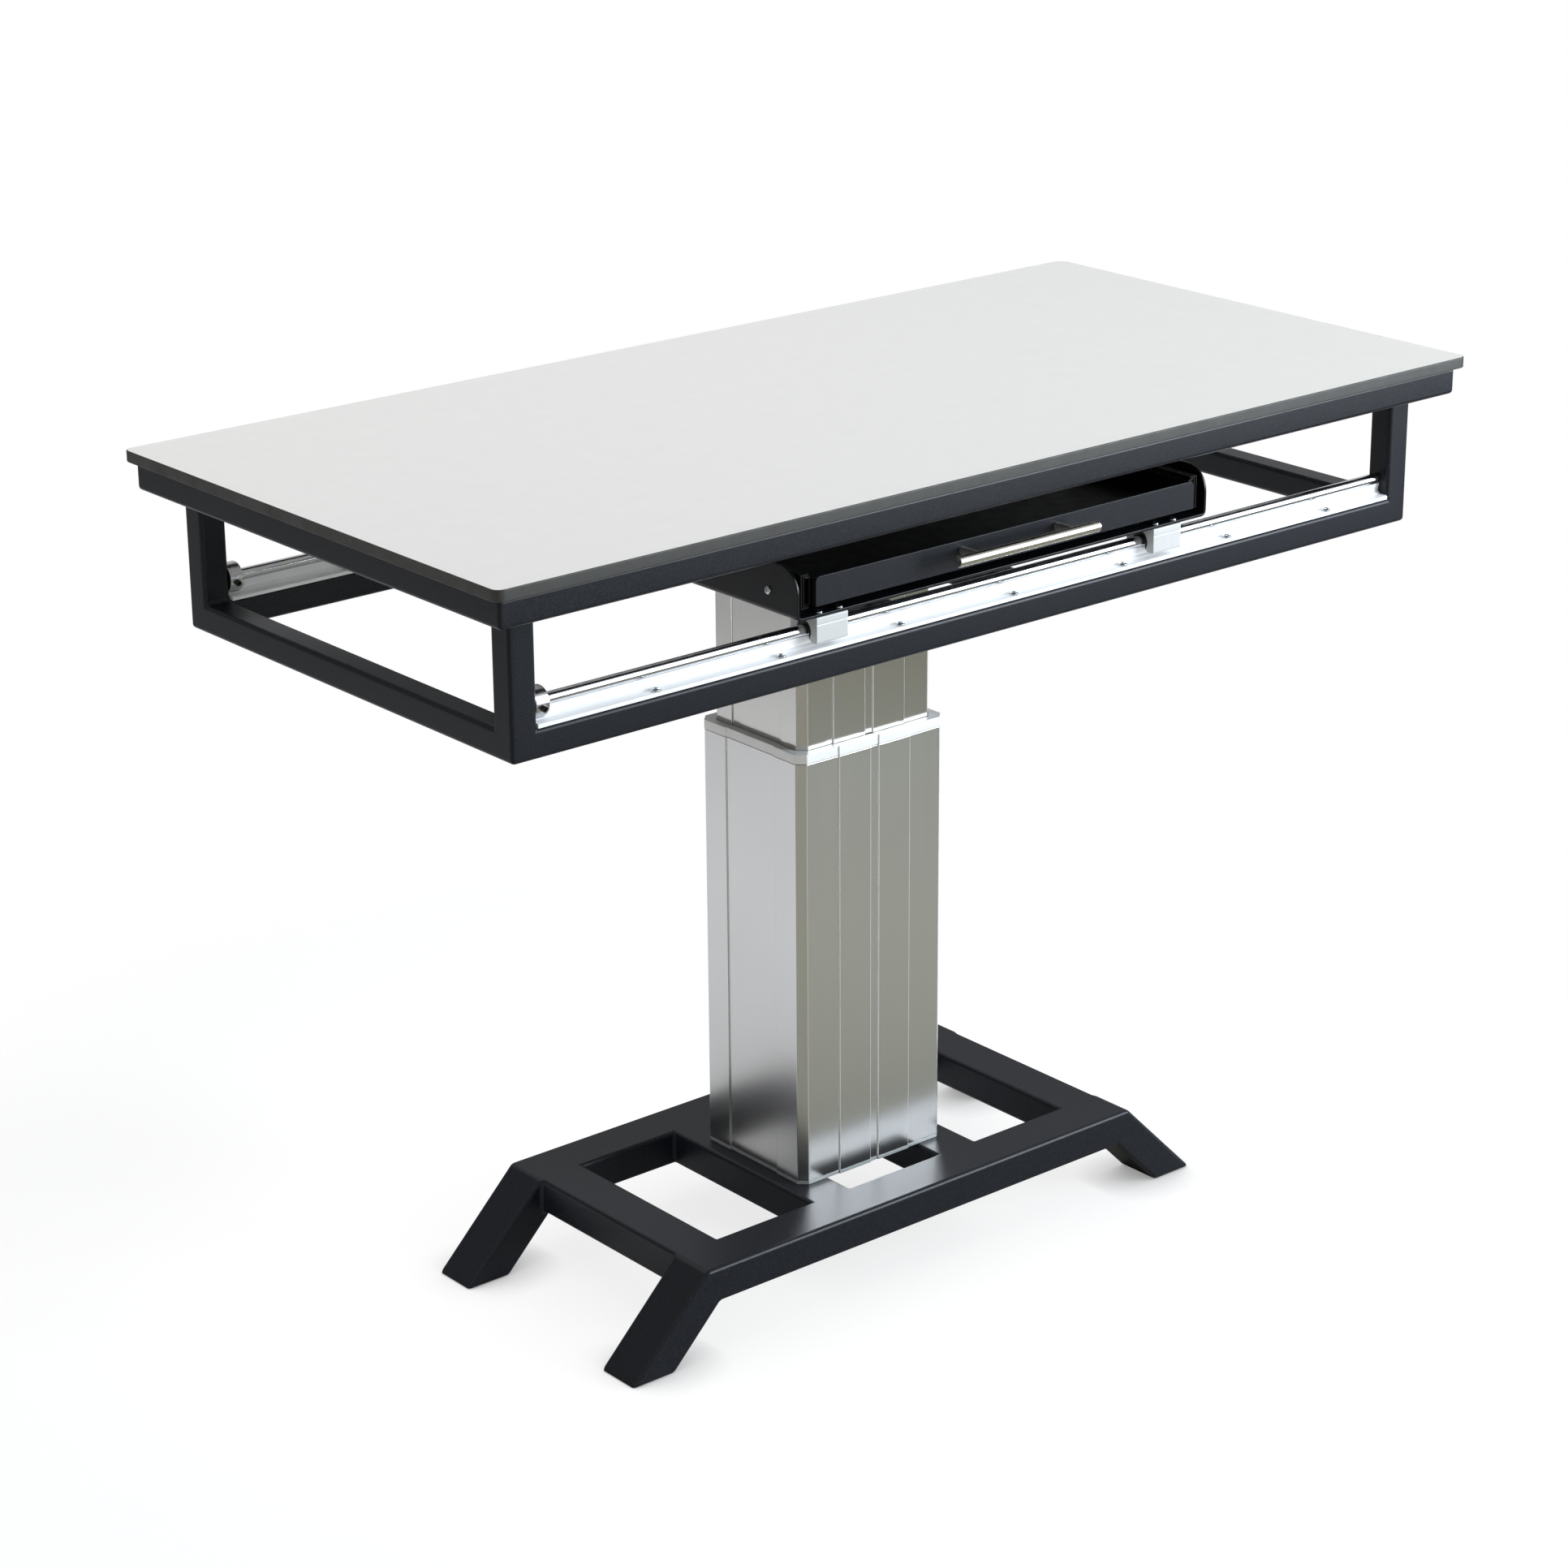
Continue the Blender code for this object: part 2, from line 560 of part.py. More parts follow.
def build_legs(base):
    """Four sloping legs, mitred to the long rails and cut level at the foot."""
    height = BASE_TUBE_HEIGHT - SEAT_GAP
    lean = math.tan(LEG_SLOPE / 2)
    start_x = BASE_LENGTH / 2 - BASE_TUBE_HEIGHT / 2 * lean + SEAT_GAP / 2
    start_z = BASE_TOP - BASE_TUBE_HEIGHT / 2
    length = start_z / math.sin(LEG_SLOPE)
    middle_x = start_x + start_z / math.tan(LEG_SLOPE) / 2
    rail_y = BASE_DEPTH / 2 - BASE_TUBE_WIDTH / 2
    tilt = Matrix.Rotation(LEG_SLOPE, 3, "Y") @ ALONG_X
    rise = FOOT_THICKNESS / math.sin(LEG_SLOPE)
    for end, back in ENDS:
        for side, right in SIDES:
            turn = tilt if right > 0 else HALF_TURN @ tilt
            name = f"base_leg_{end}_{side}"
            outline = rounded_rectangle(BASE_TUBE_WIDTH, height, BASE_CORNER_RADIUS, TUBE_CORNER_STEPS)
            leg = extrude(name, [outline], length, "black_coat")
            mitre(leg, -lean, 1 / math.tan(LEG_SLOPE))
            place(leg, (right * middle_x, back * rail_y, start_z / 2), turn, base)
            room_size = (BASE_TUBE_WIDTH - 2 * BASE_WALL, height - 2 * BASE_WALL)
            outline = rounded_rectangle(*room_size, BASE_CORNER_RADIUS / 2, 1)
            room = extrude(f"leg_room_{end}_{side}", [outline], length + rise, "black_coat")
            mitre(room, -lean, 1 / math.tan(LEG_SLOPE))
            room_x = middle_x - rise * math.cos(LEG_SLOPE)
            room_z = start_z / 2 + rise * math.sin(LEG_SLOPE)
            place(room, (right * room_x, back * rail_y, room_z), turn, base)
            shape_with(leg, room)


def support_outline():
    """Section of a shaft support: flange, neck and the cradle of the shaft."""
    half = SUPPORT_WIDTH / 2
    neck = SUPPORT_NECK / 2
    seat_radius = SHAFT_RADIUS + SEAT_GAP
    cradle_half = CRADLE_HALF_SHARE * seat_radius
    span = SHAFT_RISE - seat_radius - SUPPORT_FLANGE
    edge = math.sqrt(seat_radius**2 - cradle_half**2)
    side = [
        (half, 0),
        (half, SUPPORT_FLANGE * (1 - NECK_FOOT_SHARE)),
        (half * (1 - NECK_FOOT_SHARE / 2), SUPPORT_FLANGE),
        (half * CRADLE_HALF_SHARE / 2 + neck / 2, SUPPORT_FLANGE),
        (neck, SUPPORT_FLANGE + NECK_RISE_SHARE * span),
        (neck, SUPPORT_FLANGE + CRADLE_NECK_SHARE * span),
        (cradle_half, SHAFT_RISE - edge - NECK_FOOT_SHARE * seat_radius),
    ]
    reach = math.asin(cradle_half / seat_radius)
    bottom = -math.pi / 2
    seat = arc(0, SHAFT_RISE, seat_radius, bottom + reach, bottom - reach, CRADLE_STEPS)
    return side + seat + [(-x, y) for x, y in reversed(side)]


def block_outline():
    """Section of an open bearing block about the shaft's centre."""
    half = BLOCK_WIDTH / 2
    bore = BUSHING_RADIUS + SEAT_GAP
    slot = SLOT_HALF_SHARE * bore
    line = BLOCK_RISE - BLOCK_LINE_DROP
    reach = math.asin(slot / bore)
    bottom = -math.pi / 2
    flare = SLOT_FLARE_SHARE * BLOCK_DROP
    side = [
        (slot, -BLOCK_DROP + flare),
        (slot + flare / 2, -BLOCK_DROP),
        (half - BLOCK_CHAMFER, -BLOCK_DROP),
        (half, -BLOCK_DROP + BLOCK_CHAMFER),
        (half, line - BLOCK_LINE_DEPTH),
        (half - BLOCK_LINE_DEPTH, line),
        (half, line + BLOCK_LINE_DEPTH),
        (half, BLOCK_RISE - SEAT_GAP - BLOCK_CHAMFER),
        (half - BLOCK_CHAMFER, BLOCK_RISE - SEAT_GAP),
    ]
    round_bore = arc(0, 0, bore, bottom - reach, bottom + reach - 2 * math.pi, BORE_STEPS)
    return side + [(-x, y) for x, y in reversed(side)] + round_bore


def bushing_outline():
    """Section of an open bushing, with its slot at the bottom."""
    inner = SHAFT_RADIUS + SLIDE_GAP
    outer = BUSHING_RADIUS
    slot = SLOT_HALF_SHARE * inner
    bottom = -math.pi / 2
    outer_reach = math.asin((slot + BUSHING_SLOT_INSET) / outer)
    inner_reach = math.asin(slot / inner)
    turn = 2 * math.pi
    outside = arc(0, 0, outer, bottom + outer_reach, bottom - outer_reach + turn, BORE_STEPS)
    inside = arc(0, 0, inner, bottom - inner_reach + turn, bottom + inner_reach, BORE_STEPS)
    return outside + inside


def build_guides(lift):
    """Shaft supports, shafts and their end collars on both long rails."""
    collar_x = -(SHAFT_HALF_LENGTH - COLLAR_WIDTH / 2)
    for end, back in ENDS:
        rail_y = back * SHAFT_Y
        name = f"shaft_support_{end}"
        support = extrude(name, [support_outline()], 2 * SHAFT_HALF_LENGTH, "bright_aluminium")
        place(support, (0, rail_y, LOWER_FRAME_TOP), ALONG_X, lift)
        notch_radius = COLLAR_RADIUS + RUNNING_GAP
        notch_length = COLLAR_WIDTH + RUNNING_GAP + CUT_OVERRUN
        notch = extrude(f"collar_notch_{end}", [circle(notch_radius)], notch_length, "bright_aluminium")
        notch_x = -(SHAFT_HALF_LENGTH + CUT_OVERRUN) + notch_length / 2
        place(notch, (notch_x, rail_y, SHAFT_LEVEL), ALONG_X, lift)
        shape_with(support, notch)

        name = f"guide_shaft_{end}"
        outline = circle(SHAFT_RADIUS, SHAFT_STEPS)
        shaft = extrude(name, [outline], 2 * SHAFT_HALF_LENGTH, "ground_steel", smooth=True)
        place(shaft, (0, rail_y, SHAFT_LEVEL), ALONG_X, lift)

        outlines = [circle(COLLAR_RADIUS, SHAFT_STEPS), circle(SHAFT_RADIUS + SEAT_GAP, SHAFT_STEPS)]
        collar = extrude(f"shaft_collar_{end}", outlines, COLLAR_WIDTH, "ground_steel", smooth=True)
        place(collar, (collar_x, rail_y, SHAFT_LEVEL), ALONG_X, lift)


def channel(width, height, sheet):
    """A channel section, open at the right, with its web on the Y axis."""
    return [
        (0, -height / 2),
        (width, -height / 2),
        (width, -height / 2 + sheet),
        (sheet, -height / 2 + sheet),
        (sheet, height / 2 - sheet),
        (width, height / 2 - sheet),
        (width, height / 2),
        (0, height / 2),
    ]


def tray_outline():
    """Section of the carriage tray: a floor and two sides with round bends."""
    half = CARRIAGE_WIDTH / 2
    inner = CARRIAGE_BEND - CARRIAGE_SHEET
    quarter = math.pi / 2
    outer_bend = arc(half - CARRIAGE_BEND, CARRIAGE_BEND, CARRIAGE_BEND, -quarter, 0, BEND_STEPS)
    inner_bend = arc(half - CARRIAGE_BEND, CARRIAGE_BEND, inner, 0, -quarter, BEND_STEPS)
    right = outer_bend + [(half, CARRIAGE_SIDE), (half - CARRIAGE_SHEET, CARRIAGE_SIDE)] + inner_bend
    return right + [(-x, y) for x, y in reversed(right)]


def side_silhouette():
    """Outline of the tray seen from its side, with round upper corners."""
    half = CARRIAGE_HALF_DEPTH
    radius = CARRIAGE_CORNER
    quarter = math.pi / 2
    top = CARRIAGE_SIDE
    rear = arc(half - radius, top - radius, radius, 0, quarter, CORNER_CUT_STEPS)
    front = arc(-half + radius, top - radius, radius, quarter, 2 * quarter, CORNER_CUT_STEPS)
    return [(half, -CUT_OVERRUN)] + rear + front + [(-half, -CUT_OVERRUN)]


def build_carriage(carriage):
    """The tray on its four bearing blocks, each with an open bushing."""
    length = 2 * (CARRIAGE_HALF_DEPTH + CUT_OVERRUN)
    tray = extrude("carriage_tray", [tray_outline()], length, "black_steel")
    place(tray, (CARRIAGE_OFFSET, 0, CARRIAGE_BOTTOM), ALONG_Y, carriage)
    width = CARRIAGE_WIDTH + 2 * CUT_OVERRUN
    silhouette = extrude("tray_silhouette", [side_silhouette()], width, "black_steel")
    place(silhouette, (CARRIAGE_OFFSET, 0, CARRIAGE_BOTTOM), ALONG_X, carriage)
    shape_with(tray, silhouette, "INTERSECT")
    for end, back in ENDS:
        for side, right in SIDES:
            name = f"bearing_block_{end}_{side}"
            block = extrude(name, [block_outline()], BLOCK_LENGTH, "bright_aluminium")
            block_x = CARRIAGE_OFFSET + BLOCK_SHIFT + right * (CARRIAGE_WIDTH / 2 - BLOCK_INSET)
            place(block, (block_x, back * SHAFT_Y, SHAFT_LEVEL), ALONG_X, carriage)
            name = f"linear_bushing_{end}_{side}"
            bushing_length = BLOCK_LENGTH - 2 * BUSHING_INSET
            bushing = extrude(name, [bushing_outline()], bushing_length, "bushing_black", smooth=True)
            place(bushing, (block_x, back * SHAFT_Y, SHAFT_LEVEL), ALONG_X, carriage)


def build_slides(carriage, middle, drawer):
    """Outer, middle and inner channels of the two drawer slides."""
    outer_face = CARRIAGE_WIDTH / 2 - CARRIAGE_SHEET - SLIDE_STANDOFF - SEAT_GAP
    middle_face = outer_face - 2 * SLIDE_SHEET
    drawer_face = DRAWER_HALF_WIDTH + SEAT_GAP
    middle_height = SLIDE_HEIGHT - 2 * (SLIDE_SHEET + SLIDE_GAP)
    inner_height = middle_height - 2 * (SLIDE_SHEET + SLIDE_GAP)
    outer_width = (outer_face - drawer_face) * OUTER_CHANNEL_SHARE
    middle_width = (middle_face - drawer_face) * MIDDLE_CHANNEL_SHARE
    inner_width = middle_face - drawer_face - 2 * SLIDE_SHEET
    members = (
        ("drawer_slide_outer", outer_face, -1, outer_width, SLIDE_HEIGHT, carriage),
        ("drawer_slide_middle", middle_face, -1, middle_width, middle_height, middle),
        ("drawer_slide_inner", drawer_face, 1, inner_width, inner_height, drawer),
    )
    length = DRAWER_DEPTH - 2 * SLIDE_SETBACK
    slide_y = -CARRIAGE_HALF_DEPTH + SLIDE_SETBACK + length / 2
    for label, face, outward, width, height, body in members:
        for side, right in SIDES:
            outline = [(right * outward * x, y) for x, y in channel(width, height, SLIDE_SHEET)]
            member = extrude(f"{label}_{side}", [outline], length, "black_steel")
            place(member, (CARRIAGE_OFFSET + right * face, slide_y, DRAWER_MIDDLE), ALONG_Y, body)
            if body is carriage:
                add_standoffs(member, side, right, outer_face, slide_y, length / 2 - STANDOFF_INSET)


def add_standoffs(member, side, right, face, middle_y, spacing):
    """Join the round standoffs of an outer channel to its web."""
    length = SLIDE_STANDOFF + SLIDE_SHEET / 2
    standoff_x = CARRIAGE_OFFSET + right * (face - SLIDE_SHEET / 2 + length / 2)
    for place_name, step in (("front", -1), ("centre", 0), ("rear", 1)):
        name = f"slide_standoff_{side}_{place_name}"
        standoff = extrude(name, [circle(STANDOFF_RADIUS)], length, "black_steel")
        place(standoff, (standoff_x, middle_y + step * spacing, DRAWER_MIDDLE), ALONG_X)
        shape_with(member, standoff, "UNION")


def front_outline():
    """Outline of the drawer's front, round at its upper corners."""
    half = DRAWER_HALF_WIDTH
    top = DRAWER_HEIGHT / 2
    quarter = math.pi / 2
    radius = FRONT_CORNER
    right = arc(half - radius, top - radius, radius, 0, quarter, BEND_STEPS)
    left = arc(-half + radius, top - radius, radius, quarter, 2 * quarter, BEND_STEPS)
    return [(half, -top)] + right + left + [(-half, -top)]


def build_drawer(drawer):
    """The cassette drawer: an open box behind its front."""
    front_y = -CARRIAGE_HALF_DEPTH - DRAWER_SHEET / 2
    front = extrude("drawer_front", [front_outline()], DRAWER_SHEET, "black_coat")
    place(front, (CARRIAGE_OFFSET, front_y, DRAWER_MIDDLE), ALONG_Y, drawer)

    height = DRAWER_HEIGHT - DRAWER_RIM_DROP
    depth = DRAWER_DEPTH - SEAT_GAP
    box_y = -CARRIAGE_HALF_DEPTH + SEAT_GAP + depth / 2
    outline = rounded_rectangle(2 * DRAWER_HALF_WIDTH, depth, DRAWER_CORNER, BEND_STEPS)
    box = extrude("drawer_box", [outline], height, "black_steel")
    place(box, (CARRIAGE_OFFSET, box_y, DRAWER_BOTTOM + height / 2), ALONG_Z, drawer)
    room_x = 2 * (DRAWER_HALF_WIDTH - DRAWER_SHEET)
    room_y = depth - 2 * DRAWER_SHEET
    outline = rounded_rectangle(room_x, room_y, DRAWER_CORNER - DRAWER_SHEET, BEND_STEPS)
    room = extrude("drawer_room", [outline], height, "black_steel")
    room_z = DRAWER_BOTTOM + DRAWER_SHEET + height / 2
    place(room, (CARRIAGE_OFFSET, box_y, room_z), ALONG_Z, drawer)
    shape_with(box, room)


def build_handle(drawer):
    """The bar handle on its two posts."""
    level = DRAWER_MIDDLE + HANDLE_RISE
    face_y = -CARRIAGE_HALF_DEPTH - DRAWER_SHEET - SEAT_GAP
    bar_y = face_y - HANDLE_REACH
    bar = extrude("drawer_handle", [circle(HANDLE_BAR_RADIUS)], HANDLE_LENGTH, "brushed_steel", smooth=True)
    ease_edges(bar, HANDLE_EASE)
    middle_x = CARRIAGE_OFFSET + HANDLE_SHIFT
    place(bar, (middle_x, bar_y, level), ALONG_X, drawer)
    for side, right in SIDES:
        post = extrude(f"handle_post_{side}", [circle(HANDLE_POST_RADIUS)], HANDLE_REACH, "brushed_steel")
        post_x = middle_x + right * HANDLE_POST_SPACING / 2
        place(post, (post_x, face_y - HANDLE_REACH / 2, level), ALONG_Y, drawer)
        shape_with(bar, post, "UNION")


def main():
    """Build every sub-assembly on the axis that it moves on."""
    base = make_axis("base_origin", (0, 0, 0))
    lift = make_axis("lift_axis", (0, 0, CAP_RING_TOP), base)
    carriage = make_axis("carriage_axis", (CARRIAGE_OFFSET, 0, SHAFT_LEVEL), lift)
    middle = make_axis("slide_axis", (CARRIAGE_OFFSET, 0, DRAWER_MIDDLE), carriage)
    drawer = make_axis("drawer_axis", (CARRIAGE_OFFSET, 0, DRAWER_MIDDLE), carriage)
    build_base(base)
    build_legs(base)
    build_column(base, lift)
    build_drive(base, lift)
    build_frame("lower", LOWER_HALF_X, LOWER_HALF_Y, FRAME_TUBE, LOWER_FRAME_BOTTOM, lift)
    build_frame("top", TOP_FRAME_HALF_X, TOP_FRAME_HALF_Y, TOP_RAIL_WIDTH, TOP_FRAME_BOTTOM, lift)
    build_posts(lift)
    build_cross_members(lift)
    build_tabletop(lift)
    build_guides(lift)
    build_carriage(carriage)
    build_slides(carriage, middle, drawer)
    build_drawer(drawer)
    build_handle(drawer)


main()
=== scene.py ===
"""Looks of an x-ray table on a lifting column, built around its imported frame.

The double frame, the splayed base, the telescopic column, the shaft guides,
the carriage and the cassette drawer are each a class that builds its meshes
and dresses them. X runs along the table, Y to the back and Z up, in metres.
"""
import logging
import math
from collections.abc import Iterable, Sequence
from dataclasses import dataclass, field
from enum import Enum

import bmesh
import bpy
from mathutils import Matrix, Vector


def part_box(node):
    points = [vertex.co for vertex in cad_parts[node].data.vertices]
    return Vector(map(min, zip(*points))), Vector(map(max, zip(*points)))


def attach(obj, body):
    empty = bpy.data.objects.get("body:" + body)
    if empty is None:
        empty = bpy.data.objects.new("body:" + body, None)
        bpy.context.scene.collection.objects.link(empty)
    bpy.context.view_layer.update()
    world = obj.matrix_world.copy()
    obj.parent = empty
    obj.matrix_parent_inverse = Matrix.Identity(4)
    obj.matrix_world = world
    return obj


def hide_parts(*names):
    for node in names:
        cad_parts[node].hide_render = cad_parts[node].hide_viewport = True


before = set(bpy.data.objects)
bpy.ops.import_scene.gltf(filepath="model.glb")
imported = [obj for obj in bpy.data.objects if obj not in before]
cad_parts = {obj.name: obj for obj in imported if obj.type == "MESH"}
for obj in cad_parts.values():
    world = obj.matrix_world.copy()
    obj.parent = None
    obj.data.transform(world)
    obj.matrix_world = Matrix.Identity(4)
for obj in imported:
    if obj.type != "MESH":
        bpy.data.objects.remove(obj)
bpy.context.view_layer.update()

LOG = logging.getLogger("x_ray_table")
MM = 0.001
QUARTER = math.pi / 2
SMOOTH_ANGLE = math.radians(32)
SHARP_ANGLE = math.radians(30)
FLAT_ANGLE = math.radians(0.5)
MERGE = 0.000004
SLIDE_EASE = 0.15 * MM
Point = tuple[float, float]
Outline = list[Point]


class Axis(Enum):
    """Direction of a prism; its outline lies in the other two axes, in order."""

    X = 0
    Y = 1
    Z = 2

    def at(self, u: float, v: float, w: float) -> Vector:
        """Place outline point (u, v) at distance w along the axis."""
        if self is Axis.X:
            return Vector((w, u, v))
        if self is Axis.Y:
            return Vector((u, w, v))
        return Vector((u, v, w))


class Side(Enum):
    """Left or right end of the table, with its sign along X."""

    LEFT = -1
    RIGHT = 1


class End(Enum):
    """Front or rear of the table, with its sign along Y."""

    FRONT = -1
    REAR = 1


@dataclass(frozen=True)
class Extent:
    """The box of one CAD node at rest."""

    low: Vector
    high: Vector

    @classmethod
    def of(cls, *nodes: str) -> "Extent":
        """Box around one or more CAD nodes."""
        boxes = [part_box(node) for node in nodes]
        low = Vector([round(min(box[0][axis] for box in boxes), 5) for axis in range(3)])
        high = Vector([round(max(box[1][axis] for box in boxes), 5) for axis in range(3)])
        return cls(low, high)

    @property
    def centre(self) -> Vector:
        """Middle of the box."""
        return (self.low + self.high) / 2

    @property
    def size(self) -> Vector:
        """Length of the box along each axis."""
        return self.high - self.low


def linear(colour: str) -> tuple[float, float, float, float]:
    """Turn an sRGB hex colour into the linear values that a shader takes."""
    channels = []
    for start in (1, 3, 5):
        value = int(colour[start:start + 2], 16) / 255
        channels.append(value / 12.92 if value <= 0.04045 else ((value + 0.055) / 1.055) ** 2.4)
    return (channels[0], channels[1], channels[2], 1.0)


def add_node(tree: bpy.types.NodeTree, kind: str, settings: dict | None = None, links: dict | None = None):
    """Add a shader node with its settings, values and links.

    Args:
        tree: The node tree to add to.
        kind: The node's type, without its ShaderNode prefix.
        settings: Attributes to set on the node.
        links: Input sockets by name or number, each with a value or a socket.

    Returns:
        The new node.
    """
    node = tree.nodes.new(f"ShaderNode{kind}")
    for name, value in (settings or {}).items():
        setattr(node, name, value)
    for key, value in (links or {}).items():
        if isinstance(value, bpy.types.NodeSocket):
            tree.links.new(value, node.inputs[key])
        else:
            node.inputs[key].default_value = value
    return node


@dataclass(frozen=True)
class Finish:
    """A surface whose tone, gloss and relief follow a grain of real size.

    Attributes:
        name: Name of the material.
        colour: Main sRGB colour.
        shade: Second sRGB colour, which the mottling leans towards.
        gloss: Lowest and highest roughness.
        grain: Grain size in millimetres along X, Y and Z.
        mottle: Size of the soft mottling in millimetres.
        relief: Depth of the grain in millimetres.
        metal: Metallic value.
        stretch: Anisotropy of the highlights.
        coat: Weight of a clear coat.
        specular: Strength of the plain reflection.
    """

    name: str
    colour: str
    shade: str
    gloss: tuple[float, float]
    grain: tuple[float, float, float]
    mottle: float
    relief: float
    metal: float = 0.0
    stretch: float = 0.0
    coat: float = 0.0
    specular: float = 0.5

    def material(self) -> bpy.types.Material:
        """Return the finish's material, built on first use."""
        known = bpy.data.materials.get(self.name)
        if known is not None:
            return known
        material = bpy.data.materials.new(self.name)
        material.use_nodes = True
        tree = material.node_tree
        shader = tree.nodes["Principled BSDF"]
        position = add_node(tree, "TexCoord").outputs["Object"]
        fine = self.noise(tree, position, self.grain, 4.0)
        soft = self.noise(tree, position, (self.mottle,) * 3, 3.0)
        blend = self.spread(tree, soft, 0.25, 0.75)
        tone = add_node(tree, "Mix", {"data_type": "RGBA"}, {0: blend, 6: linear(self.colour), 7: linear(self.shade)})
        tree.links.new(tone.outputs[2], shader.inputs["Base Color"])
        both = add_node(tree, "Math", {"operation": "ADD"}, {0: fine, 1: soft}).outputs[0]
        polish = add_node(tree, "MapRange", None, {
            "Value": both, "From Min": 0.7, "From Max": 1.3, "To Min": self.gloss[0], "To Max": self.gloss[1]})
        tree.links.new(polish.outputs[0], shader.inputs["Roughness"])
        bump = add_node(tree, "Bump", None, {"Height": fine, "Distance": self.relief * MM, "Strength": 1.0})
        tree.links.new(bump.outputs["Normal"], shader.inputs["Normal"])
        shader.inputs["Metallic"].default_value = self.metal
        shader.inputs["Anisotropic"].default_value = self.stretch
        shader.inputs["Coat Weight"].default_value = self.coat
        if not self.metal:
            shader.inputs["Specular IOR Level"].default_value = self.specular
        return material

    @staticmethod
    def noise(tree: bpy.types.NodeTree, position, size: Sequence[float], detail: float):
        """Noise whose cells measure size millimetres along X, Y and Z."""
        scale = [1 / (length * MM) for length in size]
        mapping = add_node(tree, "Mapping", None, {"Vector": position, "Scale": scale})
        vector = mapping.outputs["Vector"]
        return add_node(tree, "TexNoise", None, {"Vector": vector, "Scale": 1.0, "Detail": detail}).outputs[0]

    @staticmethod
    def spread(tree: bpy.types.NodeTree, value, low: float, high: float):
        """Stretch the stated part of a value to the whole range."""
        return add_node(tree, "MapRange", None, {"Value": value, "From Min": low, "From Max": high}).outputs[0]


# Fine-textured powder coat, baked on: a dry satin black with a pebbled skin
POWDER_COAT = Finish("powder_coat", "#101115", "#22252D", (0.32, 0.40), (0.9, 0.9, 0.9), 1.7, 0.04, specular=0.24)
# Compact laminate, pressed flat: a matte white sheet with a barely felt texture
LAMINATE = Finish("laminate_face", "#EBEAE7", "#E9E8E5", (0.44, 0.50), (0.6, 0.6, 0.6), 25.0, 0.004, specular=0.3)
# Phenolic core of the laminate, cut and eased: dense brown-black paper layers
LAMINATE_CORE = Finish("laminate_core", "#3A3B39", "#312F2C", (0.40, 0.55), (30.0, 30.0, 0.25), 20.0, 0.02)
# Extruded and anodised aluminium: satin grey with faint upright die lines
ANODISED = Finish("anodised_profile", "#DEDEDD", "#DBDBDA", (0.24, 0.27), (1.5, 1.5, 300.0), 160.0, 0.0002, 1.0, 0.1)
# The inner profile: the same grey, glossier, and a shade darker as painted shade so that its front reads darker
SHADED_PROFILE = Finish("slid_profile", "#D9D8D5", "#D6D5D2", (0.17, 0.20), (1.5, 1.5, 300.0), 160.0, 0.0002, 1.0, 0.1)
# Step edges of the same profile, lighter and less metallic: a painted highlight along each step
STEP_HIGHLIGHT = Finish("painted_step_highlight", "#F0F0EE", "#EAEAE8", (0.50, 0.60), (1.5, 1.5, 300.0), 160.0, 0.0002, 0.3)
# Sawn aluminium plate under the column: flat and grey at its cut edge
SAWN_PLATE = Finish("sawn_plate", "#C3C8C7", "#B6BBBA", (0.36, 0.46), (1.0, 1.0, 0.3), 10.0, 0.004, 0.5)
# Die-cast aluminium cap, blasted and clear coated: a light and even grey
CAST_CAP = Finish("cap_aluminium", "#F6F7F5", "#F1F2F0", (0.40, 0.50), (0.5, 0.5, 0.5), 14.0, 0.004, 0.2)
# Extruded mill-finish aluminium: bright, with drawing lines along the rail
MILL_ALUMINIUM = Finish("mill_aluminium", "#FAFBFC", "#F6F7F8", (0.40, 0.46), (240.0, 2.5, 2.5), 90.0, 0.0002, 0.12)
# Milled aluminium block: bright faces with short cutter marks
MILLED_BLOCK = Finish("milled_block", "#CACBCB", "#C6C7C7", (0.42, 0.52), (2.5, 0.3, 0.3), 8.0, 0.004, 0.15)
# Hardened steel shaft, centreless ground and polished: nearly a mirror
GROUND_SHAFT = Finish("ground_shaft", "#DDDEE2", "#D2D3D8", (0.07, 0.12), (0.2, 4.0, 4.0), 30.0, 0.0008, 1.0)
# Turned steel collar: bright, with rings from the lathe tool
TURNED_STEEL = Finish("turned_steel", "#D5D5D6", "#C6C6C8", (0.18, 0.28), (0.15, 3.0, 3.0), 6.0, 0.002, 1.0, 0.3)
# Stainless bar, brushed along its length: warm grey with long fine scratches
BRUSHED_STEEL = Finish("brushed_stainless", "#DEDAD2", "#D2CEC6", (0.20, 0.32), (40.0, 0.15, 0.15), 12.0, 0.003, 1.0, 0.5)
# Turned posts behind the bar: lathe rings that spread each light along the post
TURNED_POST = Finish("turned_post", "#DEDAD2", "#D2CEC6", (0.42, 0.52), (3.0, 0.15, 3.0), 12.0, 0.004, 1.0)
# Bent sheet steel under a smoother satin black coat
SATIN_BLACK = Finish("satin_black_sheet", "#0D0F12", "#0F1115", (0.26, 0.34), (0.7, 0.7, 0.7), 50.0, 0.005, specular=0.26)
# The same coat made darker and duller as painted shade, inside the drawer and on the slide channels: nearly black
SHADED_BLACK = Finish("shaded_black_coat", "#08090A", "#0A0B0C", (0.50, 0.62), (0.8, 0.8, 0.8), 14.0, 0.008, specular=0.15)
# Zinc-plated steel screws: pale and slightly blue, dulled by handling
ZINC = Finish("zinc_plate", "#D3D8DA", "#B4BABD", (0.14, 0.26), (0.4, 0.4, 0.4), 1.5, 0.006, 1.0)
